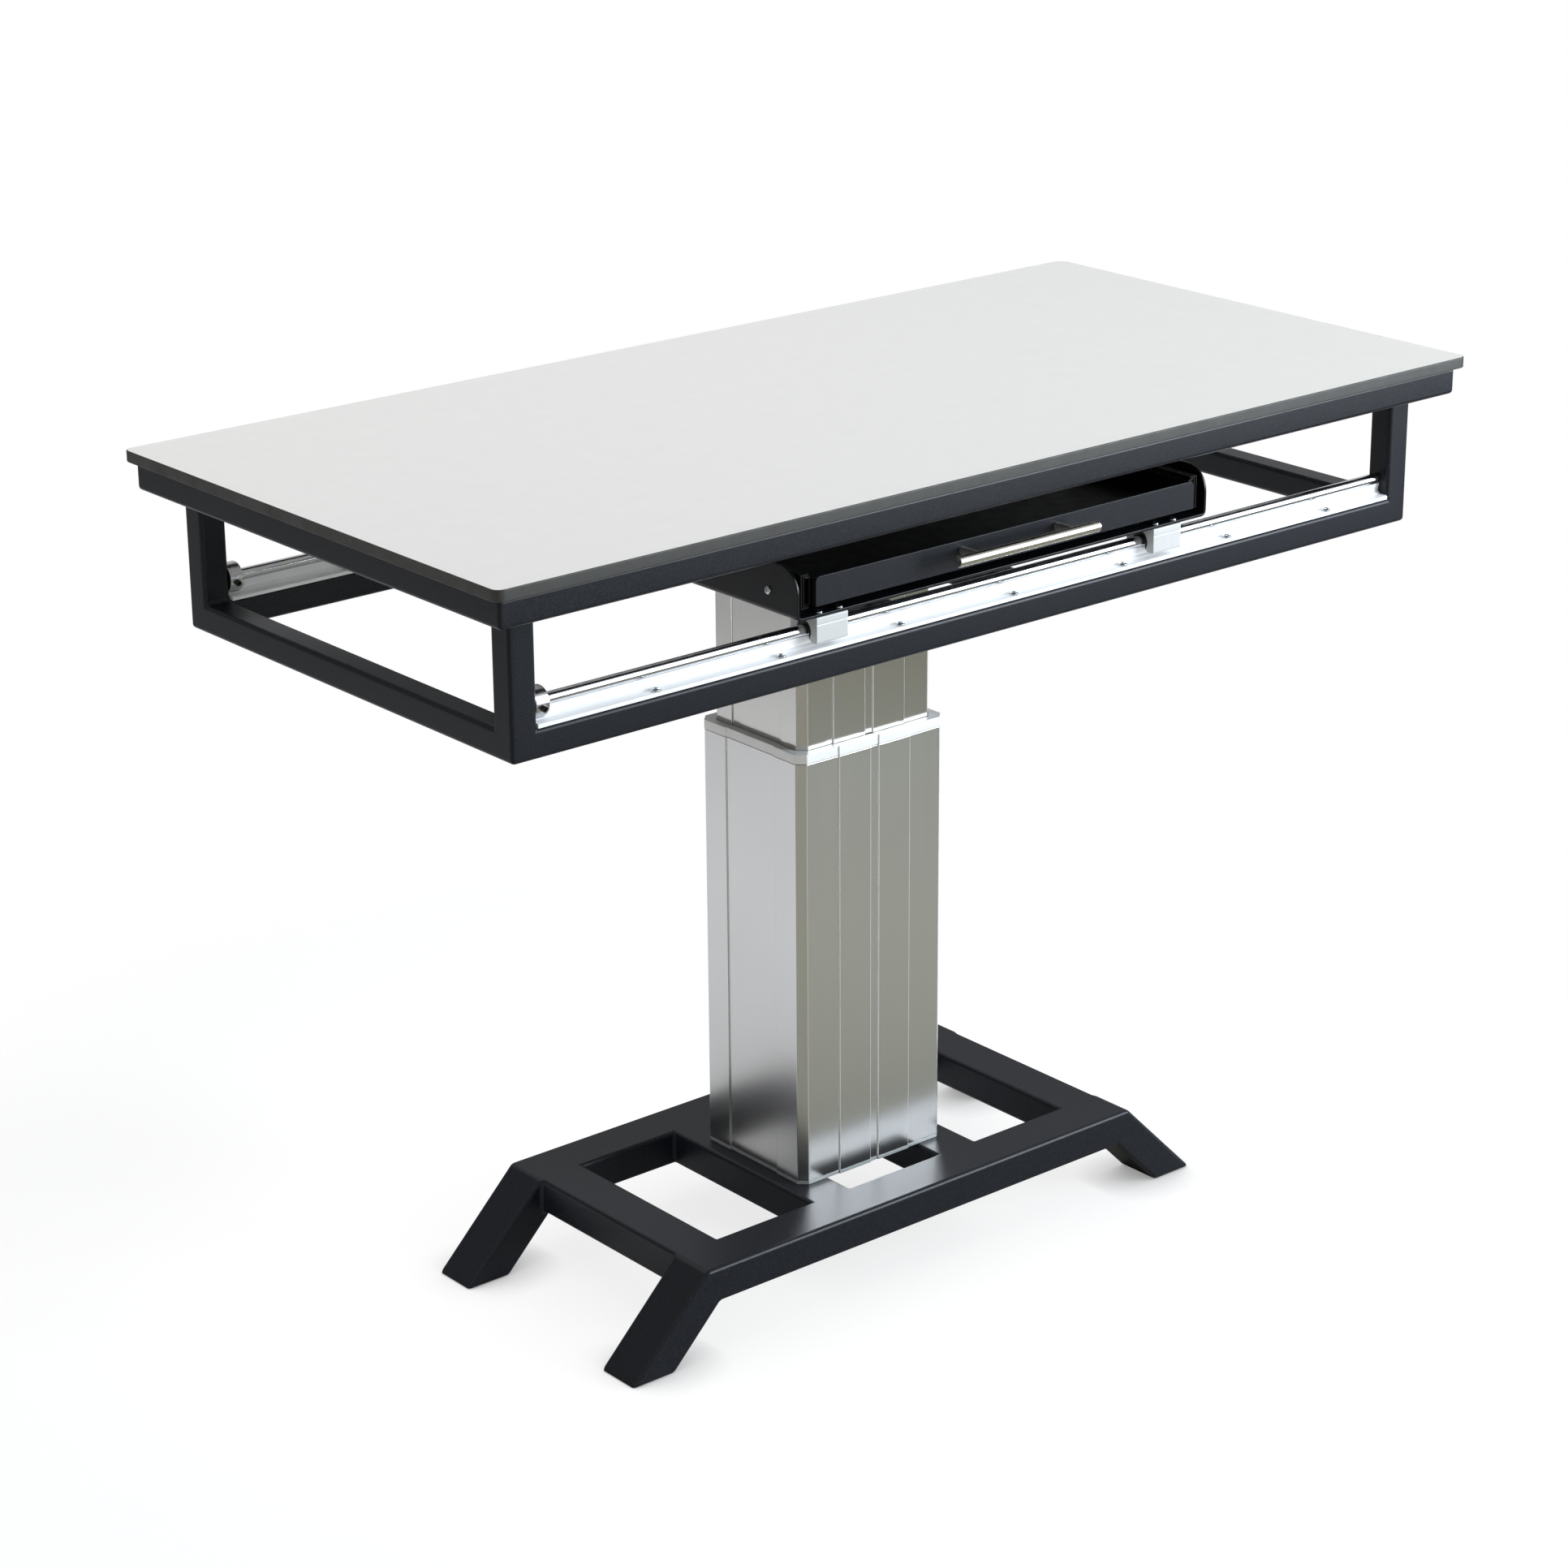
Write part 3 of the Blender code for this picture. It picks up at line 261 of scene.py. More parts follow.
# Blackened steel of set screws and slide channels, thin oil on oxide
BLACK_OXIDE = Finish("black_oxide", "#1B1B1E", "#242427", (0.28, 0.42), (0.4, 0.4, 0.4), 2.0, 0.004, 0.4)
# Moulded nylon and nitrile of the bushings and seals: dull black
BUSHING_BLACK = Finish("bushing_plastic", "#161617", "#1D1D1E", (0.48, 0.62), (0.5, 0.5, 0.5), 3.0, 0.008)
# Cast and painted housing of the gear motor
DRIVE_GREY = Finish("drive_paint", "#6B6E70", "#606365", (0.42, 0.56), (0.8, 0.8, 0.8), 12.0, 0.03)
# Turned bronze nut, yellow-brown and dry
NUT_BRONZE = Finish("nut_bronze", "#B58A4B", "#9C743C", (0.28, 0.40), (0.2, 0.2, 0.3), 5.0, 0.004, 1.0)
# Moulded slide plastic of the glide collar: waxy off-white
GLIDE_PLASTIC = Finish("glide_plastic", "#E2DFD2", "#D8D4C4", (0.36, 0.48), (0.6, 0.6, 0.6), 12.0, 0.004)


def circle(radius: float, steps: int = 40) -> Outline:
    """A closed round outline."""
    turn = 2 * math.pi / steps
    return [(radius * math.cos(step * turn), radius * math.sin(step * turn)) for step in range(steps)]


def rectangle(width: float, height: float) -> Outline:
    """A rectangle about the origin."""
    right, top = width / 2, height / 2
    return [(right, -top), (right, top), (-right, top), (-right, -top)]


def fillet(outline: Outline, reach: float, steps: int = 4) -> Outline:
    """Round the corners of an outline.

    Args:
        outline: The closed outline, as corner points.
        reach: How far from a corner the rounding starts.
        steps: Edges in each rounded corner.

    Returns:
        The outline with an arc in place of each corner.
    """
    rounded: Outline = []
    for index, corner in enumerate(outline):
        here = Vector(corner)
        before = Vector(outline[index - 1]) - here
        after = Vector(outline[(index + 1) % len(outline)]) - here
        length = min(reach, before.length / 2, after.length / 2)
        before.normalize()
        after.normalize()
        half = before.angle(after) / 2
        if half > QUARTER - SHARP_ANGLE / 4:
            rounded.append(corner)
            continue
        centre = here + (before + after).normalized() * (length / math.cos(half))
        start = here + before * length - centre
        swing = (here + after * length - centre).angle_signed(start)
        for step in range(steps + 1):
            turned = Matrix.Rotation(swing * step / steps, 2) @ start
            rounded.append(tuple(centre + turned))
    return rounded


class Shape:
    """A mesh under construction, in the frame's metres."""

    def __init__(self) -> None:
        self.solid = bmesh.new()

    def merge(self, part: bmesh.types.BMesh, slot: int = 0, matrix: Matrix | None = None) -> None:
        """Take in a finished part under one material slot."""
        for face in part.faces:
            face.material_index = slot
        self.absorb(part, matrix)

    def absorb(self, part: bmesh.types.BMesh, matrix: Matrix | None = None) -> None:
        """Take in a finished part with its own material slots."""
        if matrix is not None:
            bmesh.ops.transform(part, matrix=matrix, verts=part.verts)
        mesh = bpy.data.meshes.new("part")
        part.to_mesh(mesh)
        part.free()
        self.solid.from_mesh(mesh)
        bpy.data.meshes.remove(mesh)

    def prism(self, loops: Sequence[Outline], axis: Axis, start: float, end: float,
              ease: float = 0.0, segments: int = 2, slot: int = 0) -> None:
        """Add an outline, less any holes after it, extruded along an axis."""
        self.merge(prism(loops, axis, start, end, ease, segments), slot)

    def rod(self, axis: Axis, centre: Vector, radius: float, length: float,
            ease: float = 0.0, steps: int = 40, slot: int = 0) -> None:
        """Add a round bar about a point on its axis."""
        across = [value for index, value in enumerate(centre) if index != axis.value]
        outline = [(across[0] + u, across[1] + v) for u, v in circle(radius, steps)]
        middle = centre[axis.value]
        self.prism([outline], axis, middle - length / 2, middle + length / 2, ease, 2, slot)

    def box(self, extent: Extent, axis: Axis, reach: float) -> None:
        """Add a square-edged bar that fills an extent and reaches on along an axis."""
        low, high = extent.low.copy(), extent.high.copy()
        low[axis.value] = round(low[axis.value] - reach, 5)
        high[axis.value] = round(high[axis.value] + reach, 5)
        part = bmesh.new()
        bmesh.ops.create_cube(part, size=1.0)
        for vert in part.verts:
            vert.co = Vector([high[index] if vert.co[index] > 0 else low[index] for index in range(3)])
        self.merge(part)

    def node(self, name: str, ease: float, segments: int = 2, slot: int = 0) -> None:
        """Add a copy of a CAD node's mesh with its sharp edges eased."""
        part = bmesh.new()
        part.from_mesh(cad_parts[name].data)
        bmesh.ops.remove_doubles(part, verts=part.verts, dist=MERGE)
        bmesh.ops.dissolve_limit(part, angle_limit=FLAT_ANGLE, verts=part.verts, edges=part.edges)
        ease_edges(part, ease, segments)
        self.merge(part, slot)

    def settle(self, name: str, body: str, looks: Sequence[Finish],
               nodes: Iterable[str] = ()) -> bpy.types.Object:
        """Make the object, dress it and hang it on its body.

        Args:
            name: Name of the piece.
            body: The CAD body it moves with.
            looks: Finishes, one per material slot.
            nodes: CAD nodes that the piece stands for.

        Returns:
            The finished object.
        """
        mesh = bpy.data.meshes.new(name)
        bmesh.ops.recalc_face_normals(self.solid, faces=self.solid.faces)
        self.solid.to_mesh(mesh)
        self.solid.free()
        for look in looks:
            mesh.materials.append(look.material())
        mesh.shade_smooth()
        mesh.set_sharp_from_angle(angle=SMOOTH_ANGLE)
        piece = bpy.data.objects.new(name, mesh)
        bpy.context.scene.collection.objects.link(piece)
        normals = piece.modifiers.new("weighted_normals", "WEIGHTED_NORMAL")
        normals.keep_sharp = True
        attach(piece, body)
        replaced = list(nodes)
        if replaced:
            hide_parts(*replaced)
        LOG.info("%s: %d faces on %s", name, len(mesh.polygons), body)
        return piece


def ease_edges(part: bmesh.types.BMesh, width: float, segments: int = 2) -> None:
    """Round the sharp edges of a part by a bevel."""
    if width <= 0:
        return
    edges = [edge for edge in part.edges if edge.is_manifold and edge.calc_face_angle() > SHARP_ANGLE]
    bmesh.ops.bevel(part, geom=edges, offset=width, segments=segments, profile=0.5,
                    affect="EDGES", material=-1, clamp_overlap=True)


def prism(loops: Sequence[Outline], axis: Axis, start: float, end: float,
          ease: float = 0.0, segments: int = 2) -> bmesh.types.BMesh:
    """Extrude an outline with holes along an axis and ease its edges."""
    part = bmesh.new()
    edges = []
    for loop in loops:
        verts = [part.verts.new(axis.at(u, v, start)) for u, v in loop]
        edges += [part.edges.new((verts[index - 1], verts[index])) for index in range(len(verts))]
    if len(loops) == 1:
        faces = [part.faces.new(part.verts)]
    else:
        bmesh.ops.triangle_fill(part, edges=edges, use_beauty=True, use_dissolve=True)
        faces = list(part.faces)
    grown = bmesh.ops.extrude_face_region(part, geom=faces)["geom"]
    moved = [item for item in grown if isinstance(item, bmesh.types.BMVert)]
    bmesh.ops.translate(part, verts=moved, vec=axis.at(0, 0, end - start))
    bmesh.ops.recalc_face_normals(part, faces=part.faces)
    ease_edges(part, ease, segments)
    return part


def loft(rings: Sequence[Sequence[Vector]], closed: bool) -> bmesh.types.BMesh:
    """Bridge rings of points into a tube, closed on itself or capped."""
    part = bmesh.new()
    rows = [[part.verts.new(point) for point in ring] for ring in rings]
    pairs = list(zip(rows, rows[1:]))
    if closed:
        pairs.append((rows[-1], rows[0]))
    for first, second in pairs:
        for index in range(len(first)):
            part.faces.new((first[index - 1], first[index], second[index], second[index - 1]))
    if not closed:
        part.faces.new(rows[0])
        part.faces.new(rows[-1])
    bmesh.ops.recalc_face_normals(part, faces=part.faces)
    return part


def revolve(profile: Outline, steps: int = 32) -> bmesh.types.BMesh:
    """Spin a profile of (radius, height) points, from axis to axis, about Z."""
    part = bmesh.new()
    verts = [part.verts.new((radius, 0, height)) for radius, height in profile]
    edges = [part.edges.new(pair) for pair in zip(verts, verts[1:])]
    bmesh.ops.spin(part, geom=verts + edges, axis=(0, 0, 1), cent=(0, 0, 0), angle=2 * math.pi,
                   steps=steps, use_merge=True)
    bmesh.ops.remove_doubles(part, verts=part.verts, dist=MERGE)
    bmesh.ops.recalc_face_normals(part, faces=part.faces)
    return part


def combine(part: bmesh.types.BMesh, tool: bmesh.types.BMesh, operation: str) -> bpy.types.Mesh:
    """Join two closed parts, or cut one by the other, by an exact Boolean."""
    objects = []
    for source in (part, tool):
        mesh = bpy.data.meshes.new("operand")
        source.to_mesh(mesh)
        source.free()
        item = bpy.data.objects.new("operand", mesh)
        bpy.context.scene.collection.objects.link(item)
        objects.append(item)
    step = objects[0].modifiers.new("combine", "BOOLEAN")
    step.operation = operation
    step.solver = "EXACT"
    step.object = objects[1]
    graph = bpy.context.evaluated_depsgraph_get()
    result = bpy.data.meshes.new_from_object(objects[0].evaluated_get(graph))
    for item in objects:
        bpy.data.objects.remove(item, do_unlink=True)
    return result


def weldment(long_parts: Shape, cross_parts: Shape, radius: float) -> bmesh.types.BMesh:
    """Fuse sharp tubes into one body and round every edge and inner corner.

    Args:
        long_parts: Tubes that don't touch each other.
        cross_parts: Tubes between them, which end on their faces.
        radius: Corner radius of the tubes.

    Returns:
        The fused and rounded body.
    """
    mesh = combine(long_parts.solid, cross_parts.solid, "UNION")
    part = bmesh.new()
    part.from_mesh(mesh)
    bpy.data.meshes.remove(mesh)
    bmesh.ops.remove_doubles(part, verts=part.verts, dist=MERGE)
    bmesh.ops.dissolve_limit(part, angle_limit=FLAT_ANGLE, verts=part.verts, edges=part.edges)
    ease_edges(part, radius, 4)
    return part


@dataclass
class Fasteners:
    """Templates of the visible screws, copied wherever one is needed.

    Attributes:
        head_radius: Radius of a pan head.
        head_height: Height of a pan head.
        recess_reach: Half length of the cross recess.
        recess_half: Half width of the cross recess.
        recess_depth: Depth of the cross recess.
    """

    head_radius: float = 4.2 * MM
    head_height: float = 2.5 * MM
    recess_reach: float = 2.3 * MM
    recess_half: float = 0.7 * MM
    recess_depth: float = 1.9 * MM
    set_radius: float = 3.2 * MM
    set_length: float = 6.0 * MM
    socket_radius: float = 1.7 * MM
    socket_depth: float = 2.2 * MM
    meshes: dict[str, bpy.types.Mesh] = field(default_factory=dict)

    def pan_head(self) -> bpy.types.Mesh:
        """A domed head with a cross recess, standing on the XY plane."""
        if "pan" not in self.meshes:
            rise = self.head_height
            profile = [(0, rise)]
            for step in range(1, 9):
                angle = QUARTER * step / 8
                profile.append((self.head_radius * math.sin(angle), rise * (0.35 + 0.65 * math.cos(angle))))
            profile += [(self.head_radius, 0), (0, 0)]
            arm, half = self.recess_reach, self.recess_half
            corner = [(arm, -half), (arm, half), (half, half)]
            cross = []
            for turn in range(4):
                rotation = Matrix.Rotation(turn * QUARTER, 2)
                cross += [tuple(rotation @ Vector(point)) for point in corner]
            tool = prism([cross], Axis.Z, rise - self.recess_depth, rise + self.recess_depth)
            self.meshes["pan"] = combine(revolve(profile), tool, "DIFFERENCE")
        return self.meshes["pan"]

    def set_screw(self) -> bpy.types.Mesh:
        """A headless screw with a six-sided socket, its top on the XY plane."""
        if "set" not in self.meshes:
            body = prism([circle(self.set_radius, 28)], Axis.Z, -self.set_length, 0, 0.4 * MM)
            tool = prism([circle(self.socket_radius, 6)], Axis.Z, -self.socket_depth, self.socket_depth)
            self.meshes["set"] = combine(body, tool, "DIFFERENCE")
        return self.meshes["set"]

    def add(self, shape: Shape, mesh: bpy.types.Mesh, place: Vector, normal: Vector,
            spin: float = 0.0, slot: int = 0, size: float = 1.0) -> None:
        """Copy a screw onto a face.

        Args:
            shape: The shape that takes the screw.
            mesh: The template.
            place: Point on the face.
            normal: The face's outward direction.
            spin: Turn of the screw about its axis, in radians.
            slot: Material slot for the screw.
            size: Size of the screw as a share of the template.
        """
        part = bmesh.new()
        part.from_mesh(mesh)
        turn = normal.to_track_quat("Z", "Y").to_matrix().to_4x4()
        matrix = Matrix.Translation(place) @ turn @ Matrix.Rotation(spin, 4, "Z") @ Matrix.Scale(size, 4)
        shape.merge(part, slot, matrix)

    def add_pan(self, shape: Shape, place: Vector, normal: Vector, spin: float, size: float = 1.0) -> None:
        """Copy a pan head onto a face."""
        self.add(shape, self.pan_head(), place, normal, spin, 0, size)


SCREWS = Fasteners()


@dataclass
class TopPanel:
    """The laminate panel with a dark core showing at its edge."""

    corner: float = 10 * MM
    ease: float = 1.1 * MM
    flat: float = 0.99

    def build(self) -> None:
        """Build the panel."""
        extent = Extent.of("tabletop_panel")
        outline = fillet(rectangle(extent.size.x, extent.size.y), self.corner, 12)
        part = prism([outline], Axis.Z, extent.low.z, extent.high.z, self.ease, 3)
        for face in part.faces:
            face.material_index = 0 if abs(face.normal.z) > self.flat else 1
        shape = Shape()
        shape.absorb(part)
        shape.settle("table_top", "lift", (LAMINATE, LAMINATE_CORE), ["tabletop_panel"])


def ring_frame(half_x: float, half_y: float, width: float, low: float, high: float) -> bmesh.types.BMesh:
    """A rectangle of square-edged tube with mitred corners.

    Args:
        half_x: Half the outer length.
        half_y: Half the outer width.
        width: Width of the tube.
        low: Level of the tube's underside.
        high: Level of the tube's top.

    Returns:
        The frame as one closed part.
    """
    section = [(0, low), (0, high), (-width, high), (-width, low)]
    rings = []
    for right, back in ((1, 1), (-1, 1), (-1, -1), (1, -1)):
        ring = [(right * (half_x + u), back * (half_y + u), level) for u, level in section]
        rings.append([Vector([round(value, 5) for value in point]) for point in ring])
    return loft(rings, closed=True)


@dataclass
class DoubleFrame:
    """The welded double frame: two rectangles, four posts, two cross tubes."""

    tube_radius: float = 4.5 * MM
    seat_gap: float = 0.3 * MM

    def build(self) -> None:
        """Build the weldment and the plate that takes the column."""
        rings, uprights = Shape(), Shape()
        nodes = []
        for label in ("top", "lower"):
            names = [f"{label}_rail_{place}" for place in ("front", "rear", "left", "right")]
            extent = Extent.of(*names)
            width = Extent.of(names[0]).size.y
            rings.merge(ring_frame(extent.high.x, extent.high.y, width, extent.low.z, extent.high.z))
            nodes += names
        for end in End:
            for side in Side:
                name = f"frame_post_{end.name.lower()}_{side.name.lower()}"
                uprights.box(Extent.of(name), Axis.Z, self.seat_gap)
                nodes.append(name)
        for side in Side:
            name = f"cross_member_{side.name.lower()}"
            uprights.box(Extent.of(name), Axis.Y, self.seat_gap)
            nodes.append(name)
        shape = Shape()
        shape.merge(weldment(rings, uprights, self.tube_radius))
        shape.settle("double_frame", "lift", (POWDER_COAT,), nodes)
        plate = Shape()
        plate.node("column_top_plate", 0.8 * MM)
        plate.settle("column_plate", "lift", (POWDER_COAT,), ["column_top_plate"])


@dataclass
class SplayedBase:
    """The welded base: two long rails bent down into legs, and cross tubes."""

    tube_radius: float = 5.0 * MM
    seat_gap: float = 0.3 * MM

    def build(self) -> None:
        """Build the base as one weldment."""
        sides, across = Shape(), Shape()
        nodes = []
        for end in End:
            name = f"base_rail_{end.name.lower()}"
            nodes += [name, *[f"base_leg_{end.name.lower()}_{side.name.lower()}" for side in Side]]
            sides.merge(self.side_frame(Extent.of(name)))
        rail = Extent.of("base_rail_front")
        for label in ("base_end_rail", "base_cross_rail"):
            for side in Side:
                name = f"{label}_{side.name.lower()}"
                extent = Extent.of(name)
                extent.low.x = max(extent.low.x, rail.low.x)
                extent.high.x = min(extent.high.x, rail.high.x)
                across.box(extent, Axis.Y, self.seat_gap)
                nodes.append(name)
        shape = Shape()
        shape.merge(weldment(sides, across, self.tube_radius))
        shape.settle("splayed_base", "base", (POWDER_COAT,), nodes)

    @staticmethod
    def side_frame(rail: Extent) -> bmesh.types.BMesh:
        """A long rail with its two sloping legs, cut level at the feet."""
        half_width = rail.size.y / 2
        half_height = rail.size.z / 2
        section = [(half_width, -half_height), (half_width, half_height),
                   (-half_width, half_height), (-half_width, -half_height)]
        level = rail.centre.z
        lean = math.tan(QUARTER / 4)
        slope = 1 / math.cos(QUARTER / 2)
        bend = rail.high.x - half_height * lean
        foot = bend + level
        stations = [(-foot, 0.0, -slope, 0.0), (-bend, level, -lean, 1.0),
                    (bend, level, lean, 1.0), (foot, 0.0, slope, 0.0)]
        rings = []
        for x, z, slope_x, slope_z in stations:
            ring = [(x + slope_x * v, rail.centre.y + u, z + slope_z * v) for u, v in section]
            rings.append([Vector([round(value, 5) for value in point]) for point in ring])
        return loft(rings, closed=False)


@dataclass
class LiftColumn:
    """The two extruded profiles, the cap ring and the drive inside."""

    profile_ease: float = 0.6 * MM
    plate_ease: float = 0.2 * MM
    ring_ease: float = 0.9 * MM
    step_depth: float = 4.0 * MM
    step_width: float = 3.0 * MM
    step_turn: float = 0.25

    def build(self) -> None:
        """Build the profiles and dress the hidden drive."""
        pieces = (
            ("column_outer_profile", "base", (ANODISED, STEP_HIGHLIGHT), "anodised", self.profile_ease),
            ("column_foot_plate", "base", (SAWN_PLATE,), "anodised", self.plate_ease),
            ("column_cap_ring", "base", (CAST_CAP,), "bright_aluminium", self.ring_ease),
            # The inner profile's finish is a shade darker: painted shade on its front.
            ("column_inner_profile", "lift", (SHADED_PROFILE, STEP_HIGHLIGHT), "anodised", self.profile_ease),
        )
        for node, body, looks, slot, ease in pieces:
            shape = Shape()
            shape.node(node, ease)
            # The profiles' second finish is a painted highlight on their narrow steps.
            if STEP_HIGHLIGHT in looks:
                self.paint_step_highlights(shape, Extent.of(node))
            shape.settle(f"{node}_skin", body, looks, [node])
        hidden = {
            "column_glide_collar": GLIDE_PLASTIC,
            "lift_gear_motor": DRIVE_GREY,
            "lift_spindle": GROUND_SHAFT,
            "spindle_nut": NUT_BRONZE,
            "spindle_nut_tube": BRUSHED_STEEL,
        }
        for node, look in hidden.items():
            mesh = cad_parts[node].data
            mesh.materials.clear()
            mesh.materials.append(look.material())

    def paint_step_highlights(self, shape: Shape, extent: Extent) -> None:
        """Give the narrow steps of the front and rear panels the second finish, a painted highlight."""
        for face in shape.solid.faces:
            spread = [max(vert.co[axis] for vert in face.verts) - min(vert.co[axis] for vert in face.verts)
                      for axis in range(2)]
            centre = face.calc_center_median()
            near = min(centre.y - extent.low.y, extent.high.y - centre.y)
            if near < self.step_depth and max(spread) < self.step_width and abs(face.normal.x) > self.step_turn:
                face.material_index = 1


@dataclass
class ShaftGuides:
    """The supported shafts with their collars and screws."""

    support_ease: float = 0.25 * MM
    shaft_ease: float = 0.8 * MM
    collar_ease: float = 0.7 * MM
    first_screw: float = -438.5 * MM
    screw_pitch: float = 154.1 * MM
    screw_count: int = 7
    screw_offset: float = 12.3 * MM
    screw_size: float = 1.15
    flange: float = 4.5 * MM
    set_screw_drop: float = math.radians(10)
    set_screw_proud: float = 3.5 * MM

    def build(self) -> None:
        """Build both guides."""
        for end in End:
            label = end.name.lower()
            support = Extent.of(f"shaft_support_{label}")
            shape = Shape()
            shape.node(f"shaft_support_{label}", self.support_ease)
            shape.settle(f"support_rail_{label}", "lift", (MILL_ALUMINIUM,),
                         [f"shaft_support_{label}"])
            self.add_shaft(label)
            self.add_collar(label)
            self.add_screws(label, support)

    def add_shaft(self, label: str) -> None:
        """Add the ground shaft with chamfered ends."""
        extent = Extent.of(f"guide_shaft_{label}")
        shape = Shape()
        shape.rod(Axis.X, extent.centre, extent.size.z / 2, extent.size.x, self.shaft_ease, 56)
        shape.settle(f"round_shaft_{label}", "lift", (GROUND_SHAFT,), [f"guide_shaft_{label}"])

    def add_collar(self, label: str) -> None:
        """Add a collar with its set screw."""
        extent = Extent.of(f"shaft_collar_{label}")
        bore = Extent.of(f"guide_shaft_{label}").size.z / 2
        centre = extent.centre
        shape = Shape()
        loops = []
        for radius in (extent.size.z / 2, bore + self.collar_ease / 2):
            loops.append([(centre.y + u, centre.z + v) for u, v in circle(radius, 56)])
        shape.prism(loops, Axis.X, extent.low.x, extent.high.x, self.collar_ease, 2)
        direction = Vector((0, -math.cos(self.set_screw_drop), -math.sin(self.set_screw_drop)))
        place = centre + direction * (extent.size.z / 2 + self.set_screw_proud)
        SCREWS.add(shape, SCREWS.set_screw(), place, direction, 0.3, 1)
        shape.settle(f"stop_collar_{label}", "lift", (TURNED_STEEL, BLACK_OXIDE),
                     [f"shaft_collar_{label}"])

    def add_screws(self, label: str, support: Extent) -> None:
        """Add the screws along both sides of the flange."""
        shape = Shape()
        level = support.low.z + self.flange
        for index in range(self.screw_count):
            x = self.first_screw + index * self.screw_pitch
            for outward in (-1, 1):
                place = Vector((x, support.centre.y + outward * self.screw_offset, level))
                SCREWS.add_pan(shape, place, Vector((0, 0, 1)), 0.4 + 1.1 * index + outward, self.screw_size)
        shape.settle(f"rail_screws_{label}", "lift", (ZINC,))


@dataclass
class Carriage:
    """The tray on its bearing blocks, with the fixed slide channels."""

    tray_ease: float = 0.7 * MM
    block_ease: float = 0.5 * MM
    seal_length: float = 1.2 * MM
    seal_lip: float = 0.25 * MM
    screw_half_pitch: float = 13.0 * MM
    screw_edge: float = 6.0 * MM
    sheet: float = 3.0 * MM
    plate_screw_inset: float = 40.0 * MM

    def build(self) -> None:
        """Build the tray, the blocks and the slides' fixed parts."""
        tray = Extent.of("carriage_tray")
        shape = Shape()
        shape.node("carriage_tray", self.tray_ease, 3)
        shape.settle("tray_sheet", "carriage", (SATIN_BLACK,), ["carriage_tray"])
        screws = Shape()
        for end in End:
            for side in Side:
                label = f"{end.name.lower()}_{side.name.lower()}"
                self.add_block(label, screws, tray, end.value)
        self.add_plate_screws(screws, tray)
        screws.settle("carriage_screws", "carriage", (ZINC,))
        for side in Side:
            name = f"drawer_slide_outer_{side.name.lower()}"
            channel = Shape()
            channel.node(name, SLIDE_EASE)
            # The outer channels take the darker coat as painted shade.
            channel.settle(f"slide_channel_outer_{side.name.lower()}", "carriage", (SHADED_BLACK,), [name])

    def add_block(self, label: str, screws: Shape, tray: Extent, back: int) -> None:
        """Add one block, its bushing with seals, and its screws."""
        node = f"bearing_block_{label}"
        extent = Extent.of(node)
        shape = Shape()
        shape.node(node, self.block_ease)
        shape.settle(f"block_{label}", "carriage", (MILLED_BLOCK,), [node])
        bushing = f"linear_bushing_{label}"
        shape = Shape()
        shape.node(bushing, self.seal_lip)
        shape.settle(f"bushing_{label}", "carriage", (BUSHING_BLACK,), [bushing])
        level = tray.low.z + self.sheet
        for across in (-1, 1):
            x = extent.centre.x + across * self.screw_half_pitch
            outer = extent.high.y if back > 0 else extent.low.y
            for inset in (self.screw_edge, extent.size.y - self.screw_edge):
                place = Vector((x, outer - back * inset, level))
                SCREWS.add_pan(screws, place, Vector((0, 0, 1)), 0.5 * across + inset / MM)

    def add_plate_screws(self, screws: Shape, tray: Extent) -> None:
        """Add the screws that hold the slides to the side plates."""
        for side in Side:
            slide = Extent.of(f"drawer_slide_outer_{side.name.lower()}")
            face = tray.high.x if side is Side.RIGHT else tray.low.x
            inset = self.plate_screw_inset
            for y in (slide.low.y + inset, slide.centre.y, slide.high.y - inset):
                place = Vector((face, y - 2.0 * MM, slide.centre.z - 4.0 * MM))
                SCREWS.add_pan(screws, place, Vector((side.value, 0, 0)), 0.6 + y)


@dataclass
class CassetteDrawer:
    """The drawer box with its front, handle and moving slide channels."""

    front_ease: float = 0.5 * MM
    box_ease: float = 0.4 * MM
    inner_ease: float = 0.5 * MM
    bar_ease: float = 0.9 * MM
    post_radius: float = 4.0 * MM
    post_ease: float = 0.3 * MM
    post_spacing: float = 130.0 * MM

    def build(self) -> None:
        """Build the drawer and everything that moves with it."""
        for node, ease, look, slot in (
            ("drawer_front", self.front_ease, POWDER_COAT, "black_coat"),
            # The drawer box takes the darker coat as painted shade.
            ("drawer_box", self.box_ease, SHADED_BLACK, "black_steel"),
        ):
            shape = Shape()
            shape.node(node, ease)
            shape.settle(f"{node}_sheet", "drawer", (look,), [node])
        # The middle channels take the darker coat as painted shade.
        members = (("middle", "slide_middle", SHADED_BLACK, SLIDE_EASE), ("inner", "drawer", SATIN_BLACK, self.inner_ease))
        for member, body, look, ease in members:
            for side in Side:
                node = f"drawer_slide_{member}_{side.name.lower()}"
                shape = Shape()
                shape.node(node, ease)
                shape.settle(f"slide_channel_{member}_{side.name.lower()}", body, (look,), [node])
        self.add_handle()

    def add_handle(self) -> None:
        """Add the round bar on its two posts."""
        extent = Extent.of("drawer_handle")
        radius = extent.size.z / 2
        centre = Vector((extent.centre.x, extent.low.y + radius, extent.centre.z))
        shape = Shape()
        shape.rod(Axis.X, centre, radius, extent.size.x, self.bar_ease, 56)
        reach = extent.high.y - centre.y
        for side in Side:
            x = centre.x + side.value * self.post_spacing / 2
            middle = Vector((x, centre.y + reach / 2, centre.z))
            shape.rod(Axis.Y, middle, self.post_radius, reach, self.post_ease, 40, 1)
        shape.settle("bar_handle", "drawer", (BRUSHED_STEEL, TURNED_POST), ["drawer_handle"])


